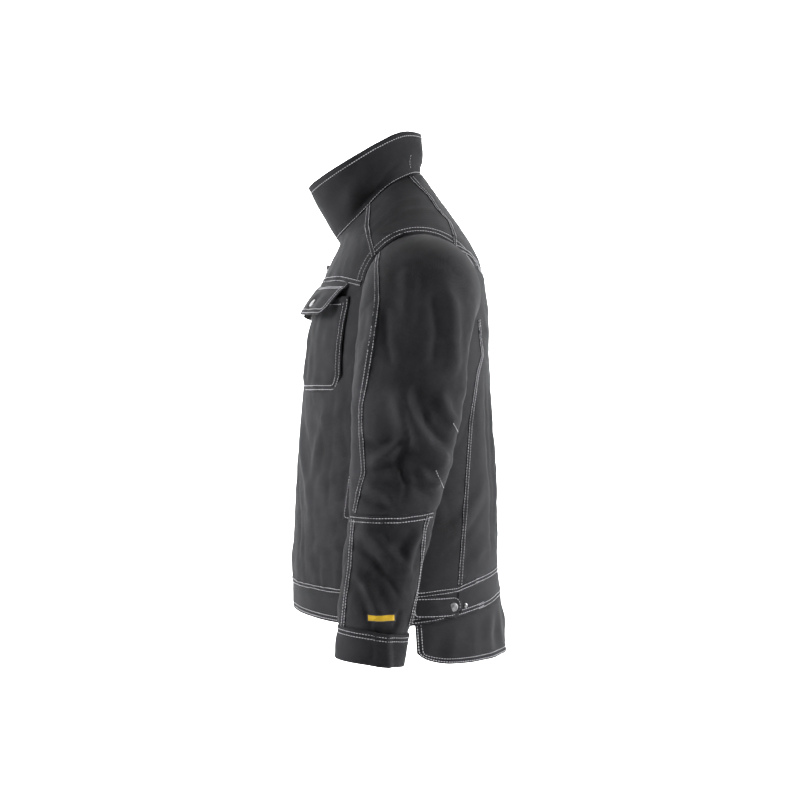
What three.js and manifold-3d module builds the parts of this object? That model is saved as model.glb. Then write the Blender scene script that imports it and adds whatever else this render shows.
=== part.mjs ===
// Work jacket on an invisible wearer, front closed, sleeves hanging.
// Millimetres, +Z up, front towards -Y, wearer's left towards +X.
import * as THREE from 'three';
import { mergeVertices } from 'three/addons/utils/BufferGeometryUtils.js';
import Module from 'manifold-3d';

const wasm = await Module();
wasm.setup();

// ---- Driving dimensions ----------------------------------------------------------------
// Heights are measured from the back of the neck seam, and depths from the shoulder line.
const CHEST_HALF_WIDTH = 226;
const HEM_HALF_WIDTH = CHEST_HALF_WIDTH - 6;
const SHOULDER_HALF_WIDTH = CHEST_HALF_WIDTH - 4;
const SHOULDER_Z = -107;
const WAIST_SEAM_Z = -621;
const HEM_Z = -664;
const TAIL_Z = -729;
const WALL = 5;               // outer cloth and its padding
const LINING = 3;
const SEAM_GAP = 0.4;         // between two sewn panels
const LINING_GAP = 2;         // between the cloth and the lining
const PATCH_GAP = 1;          // between the body and what is sewn on it
const LABEL_GAP = 2.5;        // between the lining's flats and the neck label

const NECK_HALF_WIDTH = 74;
const NECK_FRONT = -127;
const NECK_BACK = 4;
const RIM_HALF_WIDTH = 82;
const RIM_FRONT = -172;
const RIM_BACK = 2;
const COLLAR_WALL = 4;
const COLLAR_FRONT_GAP = 4;   // half the space between the collar's two ends

const ARMHOLE_RADIUS = 86;
const ARMHOLE_Y = 2;
const ARMHOLE_Z = -193;
const SLEEVE_INNER_X = CHEST_HALF_WIDTH + 5;   // the whole sleeve stays outside this, so it can swing
const UNDERARM_Z = -283;
const ELBOW_Z = -506;
const ELBOW_Y = -60;
const ELBOW_BEND = 50;        // degrees
const CUFF_SEAM_Z = -668;
const CUFF_END_Z = -713;
const CUFF_SLANT = -0.135;    // the cuff's back edge hangs lower than its front edge
const CUFF_EXTRA = 1.5;       // how far the cuff stands proud of the sleeve

const ZIP_SLOT = 8.5;         // half the space between the front panels
const ZIP_RADIUS = 1750;      // the front closure is one long arc
const ZIP_BELLY_Y = -195;
const ZIP_BELLY_Z = -600;
const ZIP_TOP_Z = -134;
const ZIP_BOTTOM_Z = -648;
const TEETH_HALF_WIDTH = 3;
const TEETH_DEPTH = 3;
const SLIDER_HALF_WIDTH = 6;
const SLIDER_LENGTH = 13;
const SLIDER_CLEARANCE = 0.5;
const PULLER_LENGTH = 26;
const TAPE_WIDTH = 15;
const TAPE_THICKNESS = 1.2;

const POCKET_INNER_X = 50;
const POCKET_OUTER_X = 184;
const POCKET_TOP_Z = -196;
const POCKET_BOTTOM_Z = -335;
const POCKET_MOUTH = 7;       // how far the pocket's mouth stands off the chest
const POCKET_SEAT = 5;        // the same at its lower edge
const POCKET_CLOTH = 2.5;
const FLAP_INNER_X = 45;
const FLAP_OUTER_X = 178;
const FLAP_TOP_Z = -175;
const FLAP_DROP = 43;
const FLAP_LIFT = 31;         // how far its lower edge stands forward of its sewn edge
const FLAP_OUTER_LIFT = 38;   // the same at its outer end
const FLAP_THICKNESS = 3;
const CHEST_SNAP_DOWN = 0.62; // where along the flap's drop its snap sits

const TAB_FRONT_Y = -8;
const TAB_BACK_Y = 53;
const TAB_TOP_Z = -630;
const TAB_HEIGHT = 33;
const TAB_POINT = 8;
const TAB_STAND_OFF = 3;      // leaves room for the stud under the tab
const TAB_THICKNESS = 3;
const SNAP_RADIUS = 6.5;
const SNAP_HEIGHT = 2.4;
const STUD_RADIUS = 4;
const STUD_HEIGHT = 1.6;
const TAB_SNAP_INSET = 9;     // from the tab's pointed end
const SPARE_STUD_STEP = 21;   // from the engaged stud to the spare one

const LOOP_SPAN = 46;
const LOOP_HEIGHT = 14;
const LOOP_WIDTH = 7;
const LOOP_THICKNESS = 1.6;
const LOOP_FRONT_Y = -17;
const LOOP_FOOT_Z = 2;

// Around-the-body outlines, each as [height or depth, value].
const frontLine = curveThrough([
  [TAIL_Z, -194], [HEM_Z + 5, -194.5], [-615, -195], [-505, -191], [-414, -186],
  [-319, -178], [-265, -171], [-217, -161], [-168, -149], [-113, -124.6], [-60, -100],
]);
const backLine = curveThrough([
  [TAIL_Z, 136], [-642, 126], [-584, 119], [-490, 119], [-403, 115], [-305, 109],
  [-214, 107], [-153, 98], [-122, 88], [-60, 55],
]);
const halfWidth = curveThrough([
  [TAIL_Z, HEM_HALF_WIDTH + 3], [HEM_Z, HEM_HALF_WIDTH], [-560, HEM_HALF_WIDTH + 1],
  [-400, CHEST_HALF_WIDTH - 2], [-300, CHEST_HALF_WIDTH], [-200, CHEST_HALF_WIDTH],
  [SHOULDER_Z, SHOULDER_HALF_WIDTH],
]);
const neckSeamZ = curveThrough([
  [NECK_FRONT, -99], [-90, -66], [-50, -25], [-14, -3], [NECK_BACK, 3],
]);
const rimZ = curveThrough([
  [RIM_FRONT, -19], [-97, 23], [-60, 44], [-26, 61], [RIM_BACK, 65],
]);
const sleeveFront = curveThrough([
  [CUFF_END_Z, -120], [-644, -113.5], [-589, -111], [-519, -103], [-421, -99],
  [-326, -96], [UNDERARM_Z, -93],
]);
const sleeveBack = curveThrough([
  [CUFF_END_Z, -24.5], [-652, -14], [-589, -1.5], [-547, 11], [ELBOW_Z, 21], [-472, 32],
  [-421, 45], [-334, 63], [UNDERARM_Z, 66],
]);
const sleeveInner = curveThrough([
  [CUFF_END_Z, SLEEVE_INNER_X + 27], [-600, SLEEVE_INNER_X + 21], [ELBOW_Z, SLEEVE_INNER_X + 15],
  [-400, SLEEVE_INNER_X + 8], [UNDERARM_Z, SLEEVE_INNER_X + 3],
]);
const sleeveThickness = curveThrough([
  [CUFF_END_Z, 78], [-600, 94], [ELBOW_Z, 106], [-400, 119], [UNDERARM_Z, 126],
]);

// Seams, as side outlines of [y, z]; both sides of the jacket share them.
const FRONT_SHOULDER_SEAM = [[-76, 30], [-76, -49], [-78, -92], [-74, -112], [-65, -147]];
const BACK_SHOULDER_SEAM = [
  [51, -127], [50, -103], [44, -82], [27, -63], [15, -41], [-2, -22], [-14, -2], [-14, 30],
];
const FRONT_YOKE_SEAM = [[-260, -165], [-146, -165], [-118, -168], [-84, -179], [-60, -182]];
const BACK_YOKE_SEAM = [[51, -127], [54, -124], [75, -131], [89, -146], [97, -159], [180, -161]];
const SIDE_SEAM_Y = -15;
const INSIDE_ARMHOLE = [40, -200];
const BACK_SIDE_SEAM = [
  [78, -206], [87, -228], [91, -267], [93, -280], [85, -307], [79, -346], [74, -379],
  [70, -436], [67, -481], [62, -555], [56, WAIST_SEAM_Z + 3],
];
const FRONT_BAND_SEAM = [
  [-260, WAIST_SEAM_Z], [-190, WAIST_SEAM_Z], [-124, WAIST_SEAM_Z - 6], [SIDE_SEAM_Y, WAIST_SEAM_Z - 7],
];
const BACK_BAND_SEAM = [
  [SIDE_SEAM_Y, WAIST_SEAM_Z - 7], [43, WAIST_SEAM_Z - 3], [56, WAIST_SEAM_Z - 1],
  [84, WAIST_SEAM_Z + 9], [120, WAIST_SEAM_Z + 17], [200, WAIST_SEAM_Z + 17],
];
const FRONT_HEM = [[SIDE_SEAM_Y, HEM_Z - 8], [-124, HEM_Z - 7], [-170, HEM_Z - 3], [-260, HEM_Z]];
const BACK_HEM_SEAM = [
  [SIDE_SEAM_Y, HEM_Z - 7], [20, HEM_Z - 4], [43, HEM_Z], [60, HEM_Z + 3], [84, HEM_Z + 8],
  [122, HEM_Z + 19], [200, HEM_Z + 19],
];
const TAIL_EDGE = [
  [200, TAIL_Z], [60, TAIL_Z], [40, TAIL_Z + 1], [22, TAIL_Z + 4], [4, TAIL_Z + 10],
  [-8, TAIL_Z + 22], [SIDE_SEAM_Y + 1, TAIL_Z + 38],
];

// ---- Colours ---------------------------------------------------------------------------
const canvas = material(0x2a2a2c, 0.85, 0);
const lining = material(0x3a3b3f, 0.95, 0);
const tape = material(0x1c1c1e, 0.8, 0);
const metal = material(0x9a9a9c, 0.4, 1);
const yellow = material(0xd9a520, 0.7, 0);
const label = material(0x8d8d8f, 0.8, 0);

function material(color, roughness, metalness) {
  return new THREE.MeshStandardMaterial({ color, roughness, metalness });
}

// ---- Curves and closed meshes ----------------------------------------------------------
// A smooth curve through [at, value] pairs in rising order, straight beyond its ends.
function curveThrough(pairs) {
  const last = pairs.length - 1;
  const slopes = pairs.map((_, i) => {
    const a = pairs[Math.max(i - 1, 0)];
    const b = pairs[Math.min(i + 1, last)];
    return (b[1] - a[1]) / (b[0] - a[0]);
  });
  return (at) => {
    if (at <= pairs[0][0]) return pairs[0][1] + slopes[0] * (at - pairs[0][0]);
    if (at >= pairs[last][0]) return pairs[last][1] + slopes[last] * (at - pairs[last][0]);
    const i = pairs.findIndex((pair) => pair[0] > at) - 1;
    const step = pairs[i + 1][0] - pairs[i][0];
    const t = (at - pairs[i][0]) / step;
    const rise = t * t * (3 - 2 * t);
    const leave = slopes[i] * step * t * (1 - t) * (1 - t);
    const arrive = slopes[i + 1] * step * t * t * (t - 1);
    return pairs[i][1] * (1 - rise) + pairs[i + 1][1] * rise + leave + arrive;
  };
}

function mix(a, b, t) {
  return a + (b - a) * t;
}

function power(value, exponent) {
  return Math.sign(value) * Math.abs(value) ** exponent;
}

function closedGeometry(points, triangles) {
  const geometry = new THREE.BufferGeometry();
  geometry.setAttribute('position', new THREE.Float32BufferAttribute(points, 3));
  geometry.setIndex(triangles);
  let volume = 0;
  const corner = (i) => new THREE.Vector3(points[3 * i], points[3 * i + 1], points[3 * i + 2]);
  for (let i = 0; i < triangles.length; i += 3) {
    const [a, b, c] = [0, 1, 2].map((k) => corner(triangles[i + k]));
    volume += a.dot(b.cross(c));
  }
  if (volume < 0) {
    for (let i = 0; i < triangles.length; i += 3) {
      [triangles[i], triangles[i + 1]] = [triangles[i + 1], triangles[i]];
    }
    geometry.setIndex(triangles);
  }
  return geometry;
}

// A thick sheet between two faces, each a function of (column, row) that gives a point.
// A wrapped sheet joins its last column to its first, and so is a tube with two open ends.
function sheet(columns, rows, outer, inner, wrapped = false) {
  const points = [];
  const triangles = [];
  const across = wrapped ? columns : columns + 1;
  for (const face of [outer, inner]) {
    for (let r = 0; r <= rows; r += 1) {
      for (let c = 0; c < across; c += 1) points.push(...face(c, r).toArray());
    }
  }
  const at = (face, c, r) => face * across * (rows + 1) + r * across + (c % across);
  const quad = (a, b, c, d) => triangles.push(a, b, c, a, c, d);
  for (let r = 0; r < rows; r += 1) {
    for (let c = 0; c < columns; c += 1) {
      quad(at(0, c, r), at(0, c + 1, r), at(0, c + 1, r + 1), at(0, c, r + 1));
      quad(at(1, c, r), at(1, c, r + 1), at(1, c + 1, r + 1), at(1, c + 1, r));
    }
  }
  for (let c = 0; c < columns; c += 1) {
    quad(at(0, c, 0), at(1, c, 0), at(1, c + 1, 0), at(0, c + 1, 0));
    quad(at(0, c, rows), at(0, c + 1, rows), at(1, c + 1, rows), at(1, c, rows));
  }
  for (let r = 0; !wrapped && r < rows; r += 1) {
    quad(at(0, 0, r), at(0, 0, r + 1), at(1, 0, r + 1), at(1, 0, r));
    quad(at(0, columns, r), at(1, columns, r), at(1, columns, r + 1), at(0, columns, r + 1));
  }
  return closedGeometry(points, triangles);
}

// A point moved off a surface along its outward normal.
function raised(surface, u, v, distance, outward) {
  const step = 0.002;
  const point = surface(u, v);
  const along = surface(u + step, v).sub(surface(u - step, v));
  const up = surface(u, v + step).sub(surface(u, v - step));
  const normal = along.cross(up).normalize();
  if (normal.dot(outward(point)) < 0) normal.negate();
  return point.addScaledVector(normal, distance);
}

function solid(geometry) {
  geometry.deleteAttribute('normal');
  geometry.deleteAttribute('uv');
  const merged = mergeVertices(geometry, 1e-5);
  return new wasm.Manifold(new wasm.Mesh({
    numProp: 3,
    vertProperties: new Float32Array(merged.attributes.position.array),
    triVerts: new Uint32Array(merged.index.array),
  }));
}

function geometryOf(body) {
  const mesh = body.getMesh();
  const geometry = new THREE.BufferGeometry();
  geometry.setAttribute('position', new THREE.BufferAttribute(mesh.vertProperties, 3));
  geometry.setIndex(new THREE.BufferAttribute(mesh.triVerts, 1));
  return geometry;
}

// An outline of [y, z] points moved inwards by a distance.
function inset(outline, distance) {
  const area = outline.reduce((sum, p, i) => {
    const q = outline[(i + 1) % outline.length];
    return sum + p[0] * q[1] - q[0] * p[1];
  }, 0);
  const inward = Math.sign(area) * distance;
  return outline.map((p, i) => {
    const before = outline[(i + outline.length - 1) % outline.length];
    const after = outline[(i + 1) % outline.length];
    const a = new THREE.Vector2(p[0] - before[0], p[1] - before[1]).normalize();
    const b = new THREE.Vector2(after[0] - p[0], after[1] - p[1]).normalize();
    const mitre = new THREE.Vector2(-a.y - b.y, a.x + b.x);
    const reach = inward / Math.max(0.5, (1 + a.dot(b)));
    return [p[0] + mitre.x * reach, p[1] + mitre.y * reach];
  });
}

// Everything within a side outline of [y, z] points, from xLow to xHigh.
function sideBlock(outline, xLow, xHigh) {
  const shape = new THREE.Shape(outline.map(([y, z]) => new THREE.Vector2(y, z)));
  const block = new THREE.ExtrudeGeometry(shape, { depth: xHigh - xLow, bevelEnabled: false });
  const turn = new THREE.Matrix4().makeBasis(
    new THREE.Vector3(0, 1, 0), new THREE.Vector3(0, 0, 1), new THREE.Vector3(1, 0, 0),
  );
  return solid(block.applyMatrix4(turn).translate(xLow, 0, 0));
}

// ---- The body's surface ----------------------------------------------------------------
// Angle 0 is centre front, a quarter turn is the wearer's left side.
function bodySection(angle, z) {
  const front = frontLine(z);
  const back = backLine(z);
  const square = Math.cos(angle) > 0 ? 1 : mix(1, 0.9, Math.min(1, (SHOULDER_Z - z) / 60));
  return new THREE.Vector3(
    halfWidth(z) * power(Math.sin(angle), square),
    (front + back) / 2 - ((back - front) / 2) * power(Math.cos(angle), square),
    z,
  );
}

function neckSeam(angle) {
  const y = mix(NECK_FRONT, NECK_BACK, (1 - Math.cos(angle)) / 2);
  return new THREE.Vector3(NECK_HALF_WIDTH * Math.sin(angle), y, neckSeamZ(y));
}

function collarRim(angle) {
  const y = mix(RIM_FRONT, RIM_BACK, (1 - Math.cos(angle)) / 2);
  return new THREE.Vector3(RIM_HALF_WIDTH * Math.sin(angle), y, rimZ(y));
}

// Height 0 to 1 runs from the tail to the shoulders, and 1 to 2 on to the neck seam.
const SHOULDER_ROUNDING = 6;
function bodySurface(angle, height) {
  if (height <= 1) return bodySection(angle, mix(TAIL_Z - 6, SHOULDER_Z, height));
  const t = height - 1;
  const point = bodySection(angle, SHOULDER_Z).lerp(neckSeam(angle), t);
  point.z += SHOULDER_ROUNDING * Math.sin(Math.PI * t) * Math.abs(Math.sin(angle));
  return point;
}

function heightAt(z) {
  return (z - TAIL_Z + 6) / (SHOULDER_Z - TAIL_Z + 6);
}

function awayFromSpine(point) {
  return new THREE.Vector3(point.x, point.y + 30, Math.max(0, point.z - SHOULDER_Z + 20));
}

// The angle at which the body's left side has a given depth.
function angleAtDepth(y, z) {
  let low = 0;
  let high = Math.PI;
  for (let i = 0; i < 40; i += 1) {
    const middle = (low + high) / 2;
    if (bodySection(middle, z).y < y) low = middle;
    else high = middle;
  }
  return low;
}

// The angle at which the chest has a given distance from the centre line.
function angleAtWidth(x, z) {
  return Math.asin(x / halfWidth(z));
}

function onBody(angle, z, distance) {
  return raised(bodySurface, angle, heightAt(z), distance, awayFromSpine);
}

const BODY_COLUMNS = 32;
const LINING_COLUMNS = 20;
const BODY_ROWS = [
  TAIL_Z - 6, HEM_Z, -560, -450, -350, -280, -220, -165, SHOULDER_Z - 12,
].map(heightAt).concat([1.05, 1.5, 2]);

function bodyShell(outside, inside, columns) {
  const face = (distance) => (c, r) => {
    const angle = (c / columns) * 2 * Math.PI;
    const height = Math.min(BODY_ROWS[r], 1.998);
    return raised(bodySurface, angle, height, -distance, awayFromSpine);
  };
  const shell = sheet(columns, BODY_ROWS.length - 1, face(outside), face(inside), true);
  return armholes().reduce((left, hole) => left.subtract(hole), solid(shell));
}

function armholes() {
  return [-1, 1].map((side) => {
    const hole = new THREE.CylinderGeometry(ARMHOLE_RADIUS, ARMHOLE_RADIUS, 240, 28);
    hole.rotateZ(Math.PI / 2).translate(side * 240, ARMHOLE_Y, ARMHOLE_Z);
    return solid(hole);
  });
}

// ---- Naming and mirroring --------------------------------------------------------------
const jacket = new THREE.Group();

function add(name, geometry, look) {
  const mesh = new THREE.Mesh(geometry, look);
  mesh.name = name;
  jacket.add(mesh);
  return mesh;
}

function mirrored(geometry) {
  const copy = geometry.clone().applyMatrix4(new THREE.Matrix4().makeScale(-1, 1, 1));
  if (!copy.index) return copy;
  const index = Array.from(copy.index.array);
  for (let i = 0; i < index.length; i += 3) [index[i], index[i + 1]] = [index[i + 1], index[i]];
  copy.setIndex(index);
  return copy;
}

// A left piece and its mirror image.
function addPair(name, geometry, look) {
  const plain = geometry.clone();
  plain.deleteAttribute('normal');
  plain.deleteAttribute('uv');
  const indexed = plain.index ? plain : mergeVertices(plain, 1e-5);
  add(`${name}_left`, indexed, look);
  add(`${name}_right`, mirrored(indexed), look);
}

// ---- Body panels -----------------------------------------------------------------------
const FAR = 400;

function addBodyPanels() {
  const shell = bodyShell(0, WALL, BODY_COLUMNS);
  const cut = (outline, xLow, xHigh) => (
    geometryOf(shell.intersect(sideBlock(inset(outline, SEAM_GAP / 2), xLow, xHigh)))
  );
  const half = (name, outline, edge) => addPair(name, cut(outline, edge, FAR), canvas);
  const whole = (name, outline) => add(name, cut(outline, -FAR, FAR), canvas);

  half('front_yoke', [...FRONT_YOKE_SEAM, ...[...FRONT_SHOULDER_SEAM].reverse(), [-260, 30]], ZIP_SLOT);
  half('shoulder', [...FRONT_SHOULDER_SEAM, ...BACK_SHOULDER_SEAM], SEAM_GAP / 2);
  half('front_panel', [
    ...[...FRONT_YOKE_SEAM].reverse(), ...FRONT_BAND_SEAM, [SIDE_SEAM_Y, UNDERARM_Z + 40],
  ], ZIP_SLOT);
  half('back_side', [
    INSIDE_ARMHOLE, ...BACK_SIDE_SEAM, [56, WAIST_SEAM_Z - 1], [43, WAIST_SEAM_Z - 3],
    [SIDE_SEAM_Y, WAIST_SEAM_Z - 7], [SIDE_SEAM_Y, UNDERARM_Z + 40],
  ], 0);
  half('waistband_front', [...FRONT_BAND_SEAM, ...FRONT_HEM], ZIP_SLOT);
  whole('back_yoke', [...BACK_YOKE_SEAM, [180, 30], [-14, 30], ...[...BACK_SHOULDER_SEAM].slice(1, -1).reverse()]);
  whole('back_panel', [
    ...[...BACK_YOKE_SEAM].reverse(), INSIDE_ARMHOLE, ...BACK_SIDE_SEAM, ...BACK_BAND_SEAM.slice(2),
  ]);
  whole('waistband_back', [...BACK_BAND_SEAM, ...[...BACK_HEM_SEAM].reverse()]);
  whole('back_tail', [...BACK_HEM_SEAM, ...TAIL_EDGE]);
}

function addLining() {
  const shell = bodyShell(WALL + LINING_GAP, WALL + LINING_GAP + LINING, LINING_COLUMNS);
  const reach = 300;
  const region = sideBlock([
    [-reach, WAIST_SEAM_Z], [reach, WAIST_SEAM_Z], [reach, 60], [-reach, 60],
  ], -FAR, FAR);
  const opening = sideBlock([
    [-reach, TAIL_Z - 20], [-60, TAIL_Z - 20], [-60, 60], [-reach, 60],
  ], -ZIP_SLOT - TAPE_WIDTH - 4, ZIP_SLOT + TAPE_WIDTH + 4);
  add('body_lining', geometryOf(shell.intersect(region).subtract(opening)), lining);
}

// ---- Collar and neck -------------------------------------------------------------------
const COLLAR_COLUMNS = 20;
const COLLAR_ROWS = 3;
const COLLAR_START = 0.03;    // just clear of the neck seam

function collarSurface(angle, rise) {
  return neckSeam(angle).lerp(collarRim(angle), rise);
}

function addCollar() {
  const outward = (point) => new THREE.Vector3(point.x, point.y + 75, 0);
  const first = Math.asin(COLLAR_FRONT_GAP / NECK_HALF_WIDTH);
  const face = (distance) => (c, r) => {
    const angle = mix(first, 2 * Math.PI - first, c / COLLAR_COLUMNS);
    const rise = mix(COLLAR_START, 1, r / COLLAR_ROWS);
    return raised(collarSurface, angle, rise, -distance, outward);
  };
  const layer = (from, to) => sheet(COLLAR_COLUMNS, COLLAR_ROWS, face(from), face(to));
  const between = COLLAR_WALL + SEAM_GAP + 0.6;
  add('collar_shell', layer(0, COLLAR_WALL), canvas);
  add('collar_facing', layer(between, between + COLLAR_WALL), lining);
}

// A strap with two sewn feet: a hook bears on the flat underside of its bar.
function addHangerLoop() {
  const half = LOOP_SPAN / 2;
  const thick = LOOP_THICKNESS;
  const shape = new THREE.Shape();
  const top = LOOP_FOOT_Z + LOOP_HEIGHT;
  const corners = [
    [-half, LOOP_FOOT_Z], [-half + thick, LOOP_FOOT_Z], [-half + thick, top - thick],
    [half - thick, top - thick], [half - thick, LOOP_FOOT_Z], [half, LOOP_FOOT_Z], [half, top],
    [-half, top],
  ];
  shape.setFromPoints(corners.map(([x, z]) => new THREE.Vector2(x, z)));
  const strap = new THREE.ExtrudeGeometry(shape, { depth: LOOP_WIDTH, bevelEnabled: false });
  strap.rotateX(Math.PI / 2).translate(0, LOOP_FRONT_Y + LOOP_WIDTH, 0);
  add('hanger_loop', strap, tape);
}

function addNeckLabel() {
  const depth = WALL + LINING_GAP + LINING + LABEL_GAP;
  const face = (distance) => (c, r) => {
    const angle = Math.PI + mix(-0.16, 0.16, c / 4);
    return raised(bodySurface, angle, mix(1.72, 1.5, r / 2), -distance, awayFromSpine);
  };
  add('neck_label', sheet(4, 2, face(depth), face(depth + 0.9)), label);
}

// ---- Sleeves ---------------------------------------------------------------------------
// Stations 0 to 1 turn the tube from the upright armhole to the level underarm, about a
// line at the underarm; beyond 1 it runs down, 100 mm to a station.
const STATION = 100;
const CAP_REACH = curveThrough([[0, 172], [0.35, 153], [0.7, 136], [1, 129]]);
const CAP_INNER = 3;

function sleeveSurface(angle, station) {
  const around = Math.cos(angle);
  const along = Math.sin(angle);
  if (station < 1) {
    const turn = (station * Math.PI) / 2;
    const reach = CAP_REACH(station);
    const radius = (reach + CAP_INNER) / 2 + ((reach - CAP_INNER) / 2) * around;
    const front = mix(ARMHOLE_Y - ARMHOLE_RADIUS + 1.5, sleeveFront(UNDERARM_Z), station);
    const back = mix(ARMHOLE_Y + ARMHOLE_RADIUS - 1.5, sleeveBack(UNDERARM_Z), station);
    return new THREE.Vector3(
      SLEEVE_INNER_X + radius * Math.sin(turn),
      (front + back) / 2 + ((back - front) / 2) * along,
      UNDERARM_Z + radius * Math.cos(turn),
    );
  }
  const z = UNDERARM_Z - (station - 1) * STATION;
  const half = sleeveThickness(z) / 2;
  const front = sleeveFront(z);
  const back = sleeveBack(z);
  const lean = CUFF_SLANT * THREE.MathUtils.smoothstep(-z, -ELBOW_Z, -CUFF_SEAM_Z);
  const y = (back - front) / 2 * along;
  return new THREE.Vector3(sleeveInner(z) + half + half * around, (front + back) / 2 + y, z + lean * y);
}

function stationAt(z) {
  return 1 + (UNDERARM_Z - z) / STATION;
}

function awayFromArm(station) {
  const z = UNDERARM_Z - Math.max(0, station - 1) * STATION;
  const middle = new THREE.Vector3(
    sleeveInner(z) + sleeveThickness(z) / 2, (sleeveFront(z) + sleeveBack(z)) / 2, z,
  );
  if (station < 1) {
    const turn = (station * Math.PI) / 2;
    const reach = CAP_REACH(station) / 2;
    middle.set(SLEEVE_INNER_X + reach * Math.sin(turn), ARMHOLE_Y, UNDERARM_Z + reach * Math.cos(turn));
  }
  return (point) => point.clone().sub(middle);
}

const SLEEVE_COLUMNS = 16;

function sleeveTube(stations, outside, inside) {
  const face = (distance) => (c, r) => raised(
    sleeveSurface, (c / SLEEVE_COLUMNS) * 2 * Math.PI, stations[r], -distance, awayFromArm(stations[r]),
  );
  return solid(sheet(SLEEVE_COLUMNS, stations.length - 1, face(outside), face(inside), true));
}

// Near its front the elbow is notched, so that the forearm has room to bend.
function elbowNotch(side) {
  const slope = Math.tan(THREE.MathUtils.degToRad(ELBOW_BEND / 2 + 1));
  const away = 160;
  return [[ELBOW_Y - away, ELBOW_Z + side * away * slope], [ELBOW_Y, ELBOW_Z], [ELBOW_Y + 200, ELBOW_Z]];
}

function addSleeves() {
  const capStations = [0.012, 0.25, 0.5, 0.75, 1];
  const levels = [-360, -440, ELBOW_Z, -590, CUFF_SEAM_Z, CUFF_END_Z];
  const stations = capStations.concat(levels.map(stationAt));
  const arm = sleeveTube(stations, 0, WALL);
  const part = (outline) => arm.intersect(sideBlock(inset(outline, SEAM_GAP / 2), 0, FAR + 200));
  const cuffSeam = (z) => {
    const middle = (sleeveFront(z) + sleeveBack(z)) / 2;
    return [[-220, z + CUFF_SLANT * (-220 - middle)], [140, z + CUFF_SLANT * (140 - middle)]];
  };
  const [seamFront, seamBack] = cuffSeam(CUFF_SEAM_Z);
  addPair('upper_sleeve', geometryOf(part([...elbowNotch(1), [140, 0], [-220, 0]])), canvas);
  addPair('forearm_sleeve', geometryOf(part([...elbowNotch(-1), seamBack, seamFront])), canvas);
  const cuff = sleeveTube([CUFF_SEAM_Z + 8, CUFF_SEAM_Z, CUFF_END_Z].map(stationAt), -CUFF_EXTRA, WALL);
  const below = [seamFront, seamBack, [140, CUFF_END_Z - 60], [-220, CUFF_END_Z - 60]];
  const band = cuff.intersect(sideBlock(inset(below, SEAM_GAP / 2), 0, FAR + 200));
  addPair('cuff', geometryOf(band), canvas);
}

const SLEEVE_PATCH = { y: -55, z: -645, width: 38, height: 10, thickness: 1 };

function addSleevePatch() {
  const { y, z, width, height, thickness } = SLEEVE_PATCH;
  const middle = (sleeveFront(z) + sleeveBack(z)) / 2;
  const half = (sleeveBack(z) - sleeveFront(z)) / 2;
  const face = (distance) => (c, r) => {
    const angle = Math.asin((y - middle + mix(-width / 2, width / 2, c / 4)) / half);
    const level = z + mix(-height / 2, height / 2, r);
    return raised(sleeveSurface, angle, stationAt(level), distance, awayFromArm(stationAt(level)));
  };
  add('sleeve_patch', sheet(4, 1, face(PATCH_GAP), face(PATCH_GAP + thickness)), yellow);
}

// ---- Chest pockets ---------------------------------------------------------------------
const POCKET_COLUMNS = 5;
const POCKET_ROWS = 4;

// A block on the chest: sides and lower edge pulled in by a margin, between two heights
// above the cloth that each depend on how far down the pocket they are.
function chestBlock(margin, topZ, near, far) {
  const face = (distance) => (c, r) => {
    const z = mix(topZ, POCKET_BOTTOM_Z + margin, r / POCKET_ROWS);
    const down = (POCKET_TOP_Z - z) / (POCKET_TOP_Z - POCKET_BOTTOM_Z);
    const chamfer = r === POCKET_ROWS ? 16 : 0;
    const x = mix(POCKET_INNER_X + margin + chamfer, POCKET_OUTER_X - margin - chamfer, c / POCKET_COLUMNS);
    return onBody(angleAtWidth(x, z), z, distance(down));
  };
  return solid(sheet(POCKET_COLUMNS, POCKET_ROWS, face(near), face(far)));
}

function pocketFace(down) {
  return mix(POCKET_MOUTH, POCKET_SEAT, THREE.MathUtils.smoothstep(down, 0, 1));
}

function addPockets() {
  const block = chestBlock(0, POCKET_TOP_Z, () => PATCH_GAP, pocketFace);
  const hollow = chestBlock(
    POCKET_CLOTH, POCKET_TOP_Z + 12, () => PATCH_GAP - 3, (down) => pocketFace(down) - POCKET_CLOTH,
  );
  addPair('chest_pocket', geometryOf(block.subtract(hollow)), canvas);
}

const FLAP_END_DROP = 6;      // the flap's outer end is sewn a little lower

// A point of the flap's inner face, from its sewn edge (down 0) to its free edge (down 1).
function flapPoint(across, down) {
  const x = mix(FLAP_INNER_X, FLAP_OUTER_X, across);
  const z = FLAP_TOP_Z - FLAP_END_DROP * across;
  const lift = mix(FLAP_LIFT, FLAP_OUTER_LIFT, across);
  const fall = new THREE.Vector3(-3, -lift, -FLAP_DROP);
  return onBody(angleAtWidth(x, z), z, PATCH_GAP).addScaledVector(fall, down);
}

function addFlaps() {
  const along = flapPoint(1, 0).sub(flapPoint(0, 0));
  const out = along.clone().cross(flapPoint(0.5, 1).sub(flapPoint(0.5, 0))).normalize();
  if (out.y > 0) out.negate();
  const columns = 5;
  const rows = 3;
  const face = (depth) => (c, r) => {
    const corner = r === rows ? 0.04 : 0;
    return flapPoint(mix(corner, 1 - corner, c / columns), r / rows).addScaledVector(out, depth);
  };
  addPair('chest_flap', sheet(columns, rows, face(0), face(FLAP_THICKNESS)), canvas);
  const seat = flapPoint(0.5, CHEST_SNAP_DOWN);
  addPair('chest_snap', snapCap(seat.clone().addScaledVector(out, FLAP_THICKNESS + 0.5), out), metal);
  const down = (POCKET_TOP_Z - seat.z) / (POCKET_TOP_Z - POCKET_BOTTOM_Z);
  const angle = angleAtWidth(seat.x, seat.z);
  const height = pocketFace(down) + 0.4;
  const outward = onBody(angle, seat.z, 1).sub(onBody(angle, seat.z, 0));
  addPair('chest_stud', snapStud(onBody(angle, seat.z, height), outward), metal);
}

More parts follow.
